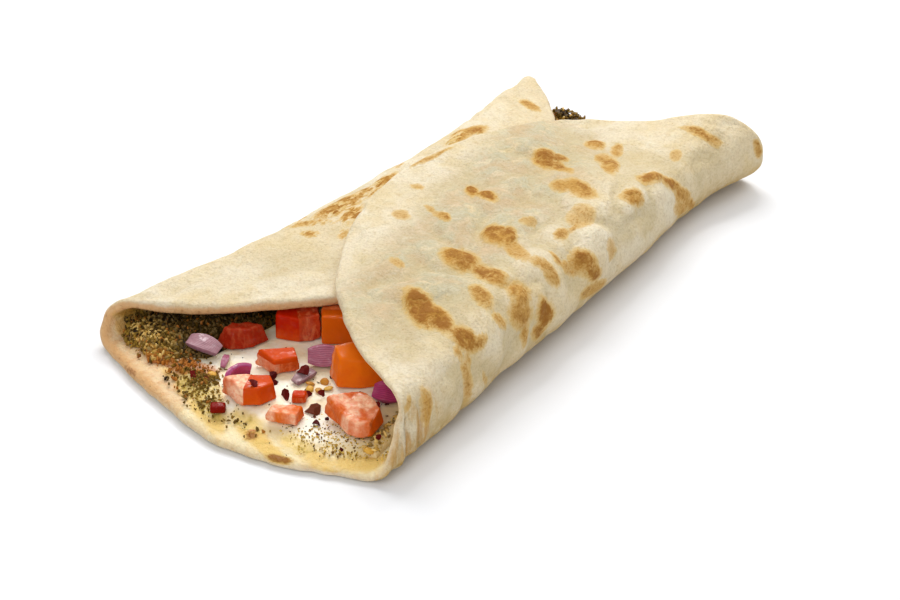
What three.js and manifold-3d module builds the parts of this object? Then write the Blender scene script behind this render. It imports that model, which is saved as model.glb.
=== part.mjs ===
// Folded flatbread with soft cheese, a herb and sesame mix, tomato and red onion.
// Millimetres. +Z is up and +Y runs along the wrap, from the open front to the far end.
// The round of dough is described flat, with u across and v along, and then folded:
// the left side first, and the right side over it.

import * as THREE from "three";
import { mergeVertices } from "three/addons/utils/BufferGeometryUtils.js";
import Module from "manifold-3d";

const wasm = await Module();
wasm.setup();

// Dough
const DOUGH = 4.5;
const RIM_ROUND = 2.2;
const RIM_THICKNESS = 3.3;
const RIM_TAPER = 8;
const LAP_GAP = 0.6;
const LAP_SETTLE = 40;
const CREST_RUN = 60;

// Distance from the middle of the flat round to its edge, every thirty-second of a turn from +X
const ROUND_REACH = [
  167.2, 160.4, 152.1, 147.8, 146.5, 143.8, 139.1, 130.4,
  123.6, 123.9, 127.4, 135.1, 139.7, 139.5, 140.0, 144.7,
  149.5, 151.2, 151.2, 149.9, 146.8, 139.8, 136.1, 134.9,
  137.2, 136.0, 133.0, 135.8, 143.0, 153.2, 162.6, 167.1,
];

// The fold at stations along the wrap: wall positions, fold heights, how round the right
// fold's corners are, and the left flap's rise
const STATIONS = [-130, -95, -50, 0, 50, 95, 130];
const LEFT_WALL = [77.3, 68.3, 58.3, 54.2, 51.4, 61.0, 61.0];
const RIGHT_WALL = [65.0, 64.1, 61.0, 56.1, 50.4, 43.3, 48.3];
const LEFT_HEIGHT = [18.9, 19.5, 23.4, 25.2, 28.1, 23.3, 26.2];
const RIGHT_HEIGHT = [38.6, 29.8, 34.4, 33.1, 32.3, 26.8, 33.8];
const RIGHT_CORNER = [5.2, 11.1, 17.5, 20, 20, 20, 20];
const LEFT_CREST = [-0.3, 4.9, 2.4, 3.3, -0.5, -5.7, -9.3];

// Spreads lie on the dough and stop short of its rim
const CONTACT_GAP = 0.35;
const FOLD_GAP = 0.6;
const BARE_RIM = 9;
const BARE_CORNER = 12;
const CORNER_RUN = 8.5;
const CHEESE_DEPTH = 1.8;
const HEAP_DEPTH = 5.0;
const PATCH_DEPTH = 2.6;
const EDGE_DEPTH = 0.7;
const EDGE_RUN = 4;
const SPREAD_GAP = 1.2;

// Cut pieces
const CUT_BEVEL = 0.7;
const VIEW_YAW = THREE.MathUtils.degToRad(40);

// Mesh density
const BREAD_COLUMNS = 46;
const BREAD_ROWS = 30;
const FRONT_GRAINS = 54;
const BACK_GRAINS = 12;

const CREAM = new THREE.MeshStandardMaterial({ color: 0xf1e6cf, roughness: 0.5 });
const CRUST = new THREE.MeshStandardMaterial({ color: 0xe8cf9d, roughness: 0.75 });
const HERB = new THREE.MeshStandardMaterial({ color: 0x6a5a1e, roughness: 0.45 });
const TOMATO = new THREE.MeshStandardMaterial({ color: 0xc63c14, roughness: 0.3 });
const ONION = new THREE.MeshStandardMaterial({ color: 0x8c3a73, roughness: 0.35 });

function seededDraw(seed) {
  let state = seed >>> 0;
  return () => {
    state = (state + 0x6d2b79f5) >>> 0;
    let mixed = Math.imul(state ^ (state >>> 15), state | 1);
    mixed ^= mixed + Math.imul(mixed ^ (mixed >>> 7), mixed | 61);
    return ((mixed ^ (mixed >>> 14)) >>> 0) / 4294967296;
  };
}

function smooth(value) {
  const t = THREE.MathUtils.clamp(value, 0, 1);
  return t * t * (3 - 2 * t);
}

function hermite(a, b, slopeA, slopeB, t) {
  const t2 = t * t;
  const t3 = t2 * t;
  return (2 * t3 - 3 * t2 + 1) * a + (t3 - 2 * t2 + t) * slopeA
    + (3 * t2 - 2 * t3) * b + (t3 - t2) * slopeB;
}

function stationSlope(values, i) {
  const last = STATIONS.length - 1;
  if (i === 0 || i === last) {
    const j = i === 0 ? 0 : last - 1;
    return (values[j + 1] - values[j]) / (STATIONS[j + 1] - STATIONS[j]);
  }
  const before = STATIONS[i] - STATIONS[i - 1];
  const after = STATIONS[i + 1] - STATIONS[i];
  const forward = (values[i + 1] - values[i]) / after;
  const backward = (values[i] - values[i - 1]) / before;
  return (forward * before + backward * after) / (before + after);
}

function along(values, station) {
  const last = STATIONS.length - 1;
  const v = THREE.MathUtils.clamp(station, STATIONS[0], STATIONS[last]);
  let i = 0;
  while (i < last - 1 && v >= STATIONS[i + 1]) i += 1;
  const step = STATIONS[i + 1] - STATIONS[i];
  const t = (v - STATIONS[i]) / step;
  const [before, after] = [step * stationSlope(values, i), step * stationSlope(values, i + 1)];
  return hermite(values[i], values[i + 1], before, after, t);
}

// The flat round
function roundReach(angle) {
  const count = ROUND_REACH.length;
  const turn = ((angle / (2 * Math.PI)) % 1 + 1) % 1 * count;
  const i = Math.floor(turn) % count;
  const at = (k) => ROUND_REACH[(i + k + count) % count];
  return hermite(at(0), at(1), (at(1) - at(-1)) / 2, (at(2) - at(0)) / 2, turn - Math.floor(turn));
}

function rimStation(u, end) {
  let v = end * ROUND_REACH[ROUND_REACH.length / 4];
  for (let pass = 0; pass < 8; pass += 1) {
    const reach = roundReach(Math.atan2(v, u));
    v = end * Math.sqrt(Math.max(reach * reach - u * u, 1));
  }
  return v;
}

// The fold
function foldAt(u, v) {
  const left = u < 0;
  const height = along(left ? LEFT_HEIGHT : RIGHT_HEIGHT, v);
  const wall = along(left ? LEFT_WALL : RIGHT_WALL, v);
  const radius = left ? height / 2 : Math.min(height / 2, along(RIGHT_CORNER, v));
  return { left, height, radius, flat: wall - radius, upright: height - 2 * radius };
}

function leftFlapHeight(x, v) {
  const fold = foldAt(-1, v);
  return fold.height + along(LEFT_CREST, v) * smooth((x + fold.flat) / CREST_RUN);
}

function outerPoint(u, v) {
  const fold = foldAt(u, v);
  const side = fold.left ? -1 : 1;
  const reach = Math.abs(u);
  if (reach <= fold.flat) return new THREE.Vector3(u, v, 0);
  const past = reach - fold.flat - Math.PI * fold.radius - fold.upright;
  if (past <= 0) {
    const lowerArc = Math.PI / 2 * fold.radius;
    const rise = THREE.MathUtils.clamp(reach - fold.flat - lowerArc, 0, fold.upright);
    const turn = (reach - fold.flat - rise) / fold.radius;
    const x = side * (fold.flat + fold.radius * Math.sin(turn));
    return new THREE.Vector3(x, v, fold.radius * (1 - Math.cos(turn)) + rise);
  }
  const x = side * (fold.flat - past);
  if (fold.left) return new THREE.Vector3(x, v, leftFlapHeight(x, v));
  const settled = smooth(past / LAP_SETTLE);
  const laid = leftFlapHeight(x, v) + DOUGH + LAP_GAP;
  return new THREE.Vector3(x, v, (1 - settled) * fold.height + settled * laid);
}

// A point of the folded sheet, measured inwards from its outer face
function sheetPoint(u, v, inwards) {
  const step = 0.05;
  const across = outerPoint(u + step, v).sub(outerPoint(u - step, v));
  const lengthwise = outerPoint(u, v + step).sub(outerPoint(u, v - step));
  return outerPoint(u, v).addScaledVector(across.cross(lengthwise).normalize(), inwards);
}

// The dough is thinner at the rim, except in the left corner
function thicknessAt(u, v) {
  const edge = roundReach(Math.atan2(v, u)) - Math.hypot(u, v);
  const taper = smooth((u + 20) / 40) * (1 - smooth(edge / RIM_TAPER));
  return THREE.MathUtils.lerp(DOUGH, RIM_THICKNESS, taper);
}

function facetGeometry(points, faces) {
  const geometry = new THREE.BufferGeometry();
  const flat = points.flatMap((point) => [point.x, point.y, point.z]);
  geometry.setAttribute("position", new THREE.Float32BufferAttribute(flat, 3));
  geometry.setIndex(faces.flat());
  return geometry;
}

// Two triangles that split a quad along its shorter diagonal
function quad(points, [a, b, c, d]) {
  const straight = points[a].distanceTo(points[c]) <= points[b].distanceTo(points[d]);
  return straight ? [[a, b, c], [a, c, d]] : [[a, b, d], [b, c, d]];
}

// Bread
function columnShare(i) {
  const q = 2 * i / BREAD_COLUMNS - 1;
  const size = Math.abs(q);
  const share = size < 0.2 ? size * 1.5
    : size < 0.75 ? 0.3 + (size - 0.2) * 0.42 / 0.55
      : 0.72 + (size - 0.75) * 1.12;
  return Math.sign(q) * share;
}

function discDirection(s, t) {
  const x = s * Math.sqrt(1 - t * t / 2);
  const y = t * Math.sqrt(1 - s * s / 2);
  return { angle: Math.atan2(y, x), share: Math.hypot(x, y) };
}

function breadGeometry() {
  const points = [];
  const faces = [];
  const put = (u, v, share) => points.push(sheetPoint(u, v, share * thicknessAt(u, v))) - 1;
  const outer = [];
  const inner = [];
  for (let j = 0; j <= BREAD_ROWS; j += 1) {
    for (let i = 0; i <= BREAD_COLUMNS; i += 1) {
      const { angle, share } = discDirection(columnShare(i), 2 * j / BREAD_ROWS - 1);
      const reach = share * (roundReach(angle) - RIM_ROUND);
      outer.push(put(reach * Math.cos(angle), reach * Math.sin(angle), 0));
      inner.push(put(reach * Math.cos(angle), reach * Math.sin(angle), 1));
    }
  }
  const row = BREAD_COLUMNS + 1;
  for (let j = 0; j < BREAD_ROWS; j += 1) {
    for (let i = 0; i < BREAD_COLUMNS; i += 1) {
      const a = j * row + i;
      const [b, c, d] = [a + 1, a + row + 1, a + row];
      faces.push(...quad(points, [inner[a], inner[b], inner[c], inner[d]]));
      faces.push(...quad(points, [outer[a], outer[d], outer[c], outer[b]]));
    }
  }
  const border = gridBorder(BREAD_COLUMNS, BREAD_ROWS);
  const rimRing = (inset, share) => border.map(([i, j]) => {
    const { angle } = discDirection(columnShare(i), 2 * j / BREAD_ROWS - 1);
    const reach = roundReach(angle) - inset;
    return put(reach * Math.cos(angle), reach * Math.sin(angle), (1 + share) / 2);
  });
  const inset = RIM_ROUND / 3;
  const share = Math.sqrt(1 - (1 - inset / RIM_ROUND) ** 2);
  const rings = [
    border.map(([i, j]) => inner[j * row + i]),
    rimRing(inset, share),
    rimRing(0, 0),
    rimRing(inset, -share),
    border.map(([i, j]) => outer[j * row + i]),
  ];
  for (let r = 0; r < rings.length - 1; r += 1) faces.push(...ringStrip(rings[r], rings[r + 1]));
  return facetGeometry(points, faces);
}

function gridBorder(columns, rows) {
  const border = [];
  for (let i = 0; i < columns; i += 1) border.push([i, 0]);
  for (let j = 0; j < rows; j += 1) border.push([columns, j]);
  for (let i = columns; i > 0; i -= 1) border.push([i, rows]);
  for (let j = rows; j > 0; j -= 1) border.push([0, j]);
  return border;
}

function ringStrip(from, to) {
  const faces = [];
  for (let k = 0; k < from.length; k += 1) {
    const next = (k + 1) % from.length;
    faces.push([from[k], to[k], to[next]], [from[k], to[next], from[next]]);
  }
  return faces;
}

// Spreads
function bedHeight(u, v) {
  const fold = foldAt(u, v);
  return DOUGH + CONTACT_GAP + FOLD_GAP * smooth((Math.abs(u) - fold.flat + 8) / 10);
}

// Shares of a run, crowded towards both of its ends
function crowded(share, amount) {
  return THREE.MathUtils.lerp(share, (1 - Math.cos(Math.PI * share)) / 2, amount);
}

// A spread thins out over the last few millimetres before its edge
function thinned(depth, distance) {
  return EDGE_DEPTH + (depth - EDGE_DEPTH) * Math.sqrt(THREE.MathUtils.clamp(distance / EDGE_RUN, 0, 1));
}

function spreadGeometry(columns, rows, place, depth) {
  const points = [];
  const faces = [];
  const under = [];
  const over = [];
  const row = columns + 1;
  for (let j = 0; j <= rows; j += 1) {
    for (let i = 0; i <= columns; i += 1) {
      const { u, v } = place(crowded(i / columns, 0.4), crowded(j / rows, 1));
      const bed = bedHeight(u, v);
      under.push(points.push(sheetPoint(u, v, bed)) - 1);
      over.push(points.push(sheetPoint(u, v, bed + depth(u, v))) - 1);
    }
  }
  for (let j = 0; j < rows; j += 1) {
    for (let i = 0; i < columns; i += 1) {
      const a = j * row + i;
      const [b, c, d] = [a + 1, a + row + 1, a + row];
      faces.push(...quad(points, [over[a], over[b], over[c], over[d]]));
      faces.push(...quad(points, [under[a], under[d], under[c], under[b]]));
    }
  }
  const border = gridBorder(columns, rows).map(([i, j]) => j * row + i);
  faces.push(...ringStrip(border.map((k) => over[k]), border.map((k) => under[k])));
  return facetGeometry(points, faces);
}

// The line between the herb heap on the left and the cheese
function heapEdge(v) {
  return -0.45 * foldAt(-1, v).flat - 15 * smooth((-104 - v) / 18);
}

function patchEdge(v) {
  return foldAt(1, v).flat - 8;
}

function settle(across, lengthwise, share) {
  let u = 0;
  let v = 0;
  for (let pass = 0; pass < 24; pass += 1) {
    v = lengthwise(u);
    u = across(v, share);
  }
  return { u, v };
}

function frontStop(u) {
  const corner = smooth((-u - 25) / 25);
  const uneven = 1.6 * Math.sin(u / 6.5) + 0.8 * Math.sin(u / 2.9 + 1);
  return rimStation(u, -1) + BARE_RIM + (BARE_CORNER - BARE_RIM) * corner + uneven;
}

function farStop(u) {
  return rimStation(u, 1) - BARE_RIM - 1.4 * Math.sin(u / 7 + 2);
}

function cheesePlace(s, t) {
  const gap = SPREAD_GAP / 2;
  const across = (v, share) => THREE.MathUtils.lerp(heapEdge(v) + gap, patchEdge(v) - gap, share);
  return settle(across, (u) => THREE.MathUtils.lerp(frontStop(u), farStop(u), t), s);
}

function cheeseDepth(u, v) {
  const uneven = 0.35 * Math.sin(u / 8 + 0.6) * Math.sin(v / 10) + 0.15 * Math.sin(u / 3.1 + v / 4.3);
  const inside = Math.min(u - heapEdge(v), patchEdge(v) - u, v - frontStop(u), farStop(u) - v);
  return thinned(CHEESE_DEPTH + uneven, inside);
}

function heapWallReach(v) {
  const fold = foldAt(-1, v);
  return -(fold.flat + fold.radius * 1.1 * smooth((v + 124) / 14) - 1);
}

function heapFront(u) {
  return frontStop(u) - 1.5;
}

// At the far end the heap runs out almost to the rim in the left corner
function heapBack(u) {
  return farStop(u) - 2 + CORNER_RUN * smooth((-u - 22) / 12);
}

function heapPlace(s, t) {
  const across = (v, share) => THREE.MathUtils.lerp(heapWallReach(v), heapEdge(v) - SPREAD_GAP / 2, share);
  return settle(across, (u) => THREE.MathUtils.lerp(heapFront(u), heapBack(u), t), s);
}

function heapDepth(u, v) {
  const fold = foldAt(-1, v);
  const onWall = smooth((-u - fold.flat + 10) / 12);
  const body = THREE.MathUtils.lerp(HEAP_DEPTH, 1.9, onWall);
  const toCheese = smooth((heapEdge(v) - u) / 14);
  const uneven = 0.6 * Math.sin(u / 3.3 + 1) * Math.sin(v / 4.1) + 0.4 * Math.sin(u / 1.9 - v / 5.3);
  const depth = 1.2 + (body - 1.2) * toCheese + uneven * toCheese * (1 - 0.5 * onWall);
  const inside = Math.min(u - heapWallReach(v), heapEdge(v) - u, v - heapFront(u), heapBack(u) - v);
  return thinned(depth, inside);
}

function patchWallReach(v) {
  const fold = foldAt(1, v);
  const round = smooth((fold.radius - 9.5) / 4);
  return fold.flat + fold.radius * 0.55 * round - 1.5 * (1 - round);
}

function patchPlace(s, t) {
  const across = (v, share) => THREE.MathUtils.lerp(patchEdge(v) + SPREAD_GAP / 2, patchWallReach(v), share);
  return settle(across, (u) => THREE.MathUtils.lerp(frontStop(u) - 1, farStop(u) - 3, t), s);
}

function patchDepth(u, v) {
  const body = PATCH_DEPTH + 0.5 * Math.sin(u / 2.3) * Math.sin(v / 3.7) + 0.3 * Math.sin(v / 9);
  const inside = Math.min(u - patchEdge(v), patchWallReach(v) - u, v - frontStop(u) + 1, farStop(u) - 3 - v);
  return thinned(body, inside);
}

function spreadTop(u, v) {
  if (u < heapEdge(v)) return bedHeight(u, v) + heapDepth(u, v);
  if (u > patchEdge(v)) return bedHeight(u, v) + patchDepth(u, v);
  return bedHeight(u, v) + cheeseDepth(u, v);
}

// Joining
function toSolid(geometry) {
  const bare = geometry.clone();
  bare.deleteAttribute("normal");
  bare.deleteAttribute("uv");
  const merged = mergeVertices(bare, 1e-5);
  return new wasm.Manifold(new wasm.Mesh({
    numProp: 3,
    vertProperties: new Float32Array(merged.attributes.position.array),
    triVerts: new Uint32Array(merged.index.array),
  }));
}

function fuse(base, extras) {
  let solid = toSolid(base);
  for (const extra of extras) solid = solid.add(toSolid(extra));
  const mesh = solid.getMesh();
  const geometry = new THREE.BufferGeometry();
  geometry.setAttribute("position", new THREE.BufferAttribute(new Float32Array(mesh.vertProperties), 3));
  geometry.setIndex(new THREE.BufferAttribute(new Uint32Array(mesh.triVerts), 1));
  return geometry;
}

function placed(geometry, position, turns, size) {
  const rotation = new THREE.Quaternion().setFromEuler(new THREE.Euler(...turns, "ZYX"));
  const matrix = new THREE.Matrix4().compose(position, rotation, new THREE.Vector3(...size));
  return geometry.applyMatrix4(matrix);
}

// Small toppings
function grain(position, size, draw) {
  const turns = [draw() * 3, draw() * 3, draw() * 3];
  const form = [size * (0.9 + 0.4 * draw()), size * (0.7 + 0.3 * draw()), size * (0.55 + 0.3 * draw())];
  return placed(new THREE.OctahedronGeometry(1, 0), position, turns, form);
}

function grainOnSpread(u, v, size, draw) {
  return grain(sheetPoint(u, v, spreadTop(u, v) + 0.1 * size), size, draw);
}

function seed(x, y, lift, yaw) {
  const position = new THREE.Vector3(x, y, spreadTop(x, y) + lift);
  return placed(new THREE.IcosahedronGeometry(1, 0), position, [0.3, 0.2, yaw], [1.5, 1.2, 0.55]);
}

function flakeGeometry(width, depth, thickness) {
  const geometry = new THREE.BoxGeometry(width, depth, thickness);
  const position = geometry.attributes.position;
  for (let i = 0; i < position.count; i += 1) {
    const x = position.getX(i);
    const y = position.getY(i);
    if (x > 0 && y > 0) position.setXYZ(i, x * 0.6, y * 1.15, position.getZ(i));
    if (x < 0 && y < 0) position.setXYZ(i, x * 1.1, y * 0.7, position.getZ(i));
  }
  return geometry;
}

function flake(x, y, width, depth, turns, lift = 0.5) {
  const position = new THREE.Vector3(x, y, spreadTop(x, y) + lift);
  return placed(flakeGeometry(width, depth, 0.9), position, turns, [1, 1, 1]);
}

// Cut pieces: an outline in the piece's own plane, with its corners and edges eased
function easedOutline(corners) {
  const eased = [];
  corners.forEach((corner, k) => {
    const here = new THREE.Vector2(...corner);
    for (const step of [-1, 1]) {
      const other = new THREE.Vector2(...corners[(k + step + corners.length) % corners.length]);
      eased.push(here.clone().add(other.sub(here).setLength(CUT_BEVEL * 1.3)));
    }
  });
  return eased;
}

function cutPiece({ corners, height, taper = 0.9, lean = [0, 0], fall = 0 }) {
  const outline = easedOutline(corners);
  const middle = new THREE.Vector2();
  for (const point of outline) middle.add(point);
  middle.divideScalar(outline.length);
  const levels = [
    [0, -CUT_BEVEL],
    [CUT_BEVEL, 0],
    [height - CUT_BEVEL, 0],
    [height, -CUT_BEVEL],
  ];
  const points = [];
  const rings = levels.map(([z, grow]) => outline.map((point) => {
    const share = z / height;
    const arm = point.clone().sub(middle);
    const scale = (1 + grow / arm.length()) * THREE.MathUtils.lerp(1, taper, share);
    arm.multiplyScalar(scale).add(middle);
    const level = z * (1 + fall * arm.y * share / height);
    return points.push(new THREE.Vector3(arm.x + lean[0] * share, arm.y + lean[1] * share, level)) - 1;
  }));
  const faces = [];
  for (let r = 0; r < rings.length - 1; r += 1) faces.push(...ringStrip(rings[r + 1], rings[r]));
  const low = rings[0];
  const high = rings[rings.length - 1];
  for (let k = 1; k < low.length - 1; k += 1) {
    faces.push([low[0], low[k + 1], low[k]], [high[0], high[k], high[k + 1]]);
  }
  return facetGeometry(points, faces);
}

// A petal of onion: a curved slab, its outer skin on the outside of the bend
function petal({ radius, sweep, width, thickness }) {
  const steps = 6;
  const points = [];
  const rings = [];
  for (let i = 0; i <= steps; i += 1) {
    const angle = sweep * (i / steps - 0.5);
    const ends = 1 - 0.35 * Math.abs(2 * i / steps - 1) ** 2;
    const ring = [];
    const inside = radius - thickness;
    for (const [reach, half] of [[inside, -1], [radius, -1], [radius, 1], [inside, 1]]) {
      const x = reach * Math.sin(angle);
      const z = reach * Math.cos(angle) - radius;
      ring.push(points.push(new THREE.Vector3(x, half * width / 2 * ends, z)) - 1);
    }
    rings.push(ring);
  }
  const faces = [];
  for (let i = 0; i < steps; i += 1) faces.push(...ringStrip(rings[i], rings[i + 1]));
  const [first, last] = [rings[0], rings[steps]];
  faces.push([first[0], first[1], first[2]], [first[0], first[2], first[3]]);
  faces.push([last[0], last[2], last[1]], [last[0], last[3], last[2]]);
  return facetGeometry(points, faces);
}

// Sets a piece down on the spread, clear of it by the contact gap
function setDown(geometry, x, y, turns, lift = 0) {
  const rotation = new THREE.Quaternion().setFromEuler(new THREE.Euler(...turns, "ZYX"));
  geometry.applyQuaternion(rotation);
  geometry.translate(x, y, 0);
  const position = geometry.attributes.position;
  let rise = -Infinity;
  for (let i = 0; i < position.count; i += 1) {
    const ground = spreadTop(position.getX(i), position.getY(i));
    rise = Math.max(rise, ground + CONTACT_GAP - position.getZ(i));
  }
  return geometry.translate(0, 0, rise + lift);
}

function makeBread() {
  return new THREE.Mesh(breadGeometry(), CRUST);
}

function makeCheese() {
  const extras = [
    flake(9.0, -107.4, 4.4, 3.4, [0.4, -0.5, 0.9]),
    flake(22.4, -107.2, 5.2, 3.6, [0.3, 0.3, 0.4]),
    flake(28.2, -112.0, 2.8, 2.2, [0.2, 0.3, 1.2]),
    flake(0.8, -103.8, 2.6, 2.4, [0.4, 0.2, 0.2]),
    seed(-8.8, -108.6, 0.2, 0.4),
    seed(-6.2, -105.4, 0.3, 1.3),
    seed(17.2, -93.8, 0.2, 0.9),
    seed(12.6, -98.4, 0.2, 2.1),
    seed(13.4, -91.6, 0.2, 0.1),
    seed(-20.4, -113.0, 0.2, 0.6),
  ];
  return new THREE.Mesh(fuse(spreadGeometry(12, 22, cheesePlace, cheeseDepth), extras), CREAM);
}

function heapGrains() {
  const draw = seededDraw(71);
  const grains = [];
  for (let k = 0; k < FRONT_GRAINS; k += 1) {
    const { u, v } = heapPlace(0.08 + 0.78 * draw(), 0.006 + 0.2 * ((k + draw()) / FRONT_GRAINS) ** 1.2);
    grains.push(grainOnSpread(u, v, 1.5 + 0.8 * draw(), draw));
  }
  for (let k = 0; k < BACK_GRAINS; k += 1) {
    const { u, v } = heapPlace(0.15 + 0.7 * draw(), 0.97 - 0.14 * ((k + draw()) / BACK_GRAINS));
    grains.push(grainOnSpread(u, v, 1.6 + 0.8 * draw(), draw));
  }
  return grains;
}

function makeHeap() {
  return new THREE.Mesh(fuse(spreadGeometry(10, 22, heapPlace, heapDepth), heapGrains()), HERB);
}

function patchGrains() {
  const draw = seededDraw(29);
  const grains = [];
  for (let k = 0; k < 12; k += 1) {
    const { u, v } = patchPlace(0.15 + 0.7 * draw(), 0.02 + 0.1 * ((k + draw()) / 12));
    grains.push(grainOnSpread(u, v, 1.3 + 0.5 * draw(), draw));
  }
  return grains;
}

function makePatch() {
  return new THREE.Mesh(fuse(spreadGeometry(4, 20, patchPlace, patchDepth), patchGrains()), HERB);
}

const TOMATOES = [
  {
    at: [-24.6, -92.2], corners: [[-9.8, -1], [-4.5, -4.4], [3.4, -3.8], [9.8, 1.4], [3.4, 4.6], [-5.6, 4.2]],
    height: 7.5, taper: 0.7,
  },
  {
    at: [-11.4, -77.2], corners: [[-9, 0], [0, -2.8], [7.8, 0], [6.5, 7], [-7.8, 7]],
    height: 10.7, taper: 0.96, fall: 0.1,
  },
  { at: [1.6, -70.0], corners: [[-6.9, -1], [6.6, -1.6], [6.4, 7.4], [-6.4, 7]], height: 12, taper: 0.98 },
  {
    at: [-4.4, -96.2], corners: [[-8.6, 3.2], [-1.4, -4.4], [8.2, -1.6], [6.4, 4.6]],
    height: 6.4, taper: 0.86, fall: 0.2,
  },
  {
    at: [22.0, -83.6], corners: [[-10.4, 4], [-7.4, -4.8], [1.6, -5.6], [9, -4], [11.2, 3], [2, 7]],
    height: 11.2, taper: 0.84, lean: [0, 2.2], fall: 0.25,
  },
  {
    at: [0.2, -115.6], corners: [[-10.2, 3], [-2.4, -5.4], [4, -5.4], [9.6, -1], [7.8, 4.6], [-3, 4.8]],
    height: 7,
  },
  {
    at: [18.2, -117.4], corners: [[-7, -0.2], [-2, -3.2], [4.6, -4.2], [7.2, 2.2], [3.5, 4], [-3.5, 3.8]],
    height: 4.4,
  },
  {
    at: [38.4, -104.4],
    corners: [
      [-10.8, 5.2], [-5.8, -2.4], [-1.4, -8.6], [2.4, -10.2], [6.4, -9.6], [10.6, -1], [8.4, 4.6], [3.4, 8.2],
    ],
    height: 6.6, taper: 0.86, fall: 0.22, lift: 1.1,
  },
  { at: [14.4, -105.6], corners: [[-2.9, -2.2], [2.5, -2.5], [2.9, 2.1], [-2.5, 2.5]], height: 3.4 },
  { at: [-4.0, -127.0], corners: [[-2.9, -2.2], [2.7, -2.1], [3.0, 2.1], [-3.0, 2.0]], height: 2.8 },
  { at: [-16.5, 96.0], corners: [[-7, -5], [6.4, -6], [7, 4.6], [-5.6, 6]], height: 9.6 },
  { at: [3.0, 103.5], corners: [[-6.4, -4.4], [5, -5.6], [7.4, 3.4], [-2, 6.2]], height: 8.2 },
  { at: [-1.5, 86.5], corners: [[-6, -5.4], [6.4, -4.8], [5.8, 5.6], [-6.6, 4.4]], height: 9 },
];

const TOMATO_TOPPINGS = {
  5: [{ kind: "seed", at: [1.2, 1.6], lift: 11.2 }],
  6: [{ kind: "flake", at: [2.2, 0.4], lift: 7.0 }],
  8: [{ kind: "flake", at: [7.0, 0.4], lift: 6.2 }, { kind: "seed", at: [3.0, -8.2], lift: 4.8 }],
};

const ONION_TOPPINGS = {
  4: [{ kind: "flake", at: [-1.6, 0.4], lift: 0.3 }],
};

function topping({ kind, at, lift }) {
  const position = new THREE.Vector3(at[0], at[1], lift);
  if (kind === "seed") {
    return placed(new THREE.IcosahedronGeometry(1, 0), position, [0.2, 0.3, 0.5], [1.5, 1.3, 0.7]);
  }
  return placed(flakeGeometry(3.2, 2.6, 1.0), position, [0.2, 0.1, 0.8], [1, 1, 1]);
}

function withToppings(geometry, toppings = []) {
  return toppings.length ? fuse(geometry, toppings.map(topping)) : geometry;
}

function makeTomato(spec, number) {
  const geometry = withToppings(cutPiece(spec), TOMATO_TOPPINGS[number]);
  return new THREE.Mesh(setDown(geometry, ...spec.at, [0, 0, VIEW_YAW], spec.lift), TOMATO);
}

const ONIONS = [
  {
    at: [-31.4, -105.6], radius: 12, sweep: 1.15, width: 6.8, thickness: 2.2,
    turns: [0.25, 0.1, 0.25], lift: 0.6,
  },
  { at: [-13.6, -109.6], radius: 9.5, sweep: 1.5, width: 5.6, thickness: 1.9, turns: [1.3, 0, 4.63] },
  { at: [6.8, -84.6], radius: 40, sweep: 0.29, width: 8, thickness: 3.4, turns: [1.1, 0, 0.7] },
  { at: [6.6, -94.6], radius: 16, sweep: 0.62, width: 4.6, thickness: 1.6, turns: [0.1, 0, 1.5] },
  { at: [37.4, -86.4], radius: 8, sweep: 1.3, width: 8, thickness: 2.4, turns: [0.5, 0.1, 0.5] },
  { at: [-21.2, -105.2], radius: 7, sweep: 1.2, width: 2.6, thickness: 1.7, turns: [0.2, 0, 2.1] },
  { at: [18.5, 98.5], radius: 11, sweep: 1.1, width: 7, thickness: 2.2, turns: [0.2, 0.1, 0.9] },
  { at: [-26.0, 84.0], radius: 10, sweep: 1.1, width: 6.4, thickness: 2.1, turns: [0.2, 0.1, 2.2], lift: 1 },
];

function makeOnion(spec, number) {
  const geometry = withToppings(petal(spec), ONION_TOPPINGS[number]);
  return new THREE.Mesh(setDown(geometry, ...spec.at, spec.turns, spec.lift), ONION);
}

function named(mesh, name) {
  mesh.name = name;
  return mesh;
}

function buildWrap() {
  const wrap = new THREE.Group();
  wrap.add(named(makeBread(), "bread"));
  wrap.add(named(makeCheese(), "cheese"));
  wrap.add(named(makeHeap(), "zaatar_left"));
  wrap.add(named(makePatch(), "zaatar_right"));
  TOMATOES.forEach((spec, k) => wrap.add(named(makeTomato(spec, k + 1), `tomato_${k + 1}`)));
  ONIONS.forEach((spec, k) => wrap.add(named(makeOnion(spec, k + 1), `onion_${k + 1}`)));
  return wrap;
}

// The origin is under the middle of the wrap, on the surface it rests on
function centred(wrap) {
  const box = new THREE.Box3().setFromObject(wrap);
  wrap.position.set(-(box.min.x + box.max.x) / 2, -(box.min.y + box.max.y) / 2, -box.min.z);
  wrap.updateMatrixWorld(true);
  return wrap;
}

const model = new THREE.Group();
model.add(centred(buildWrap()));

export default model;
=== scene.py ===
import math

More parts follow.
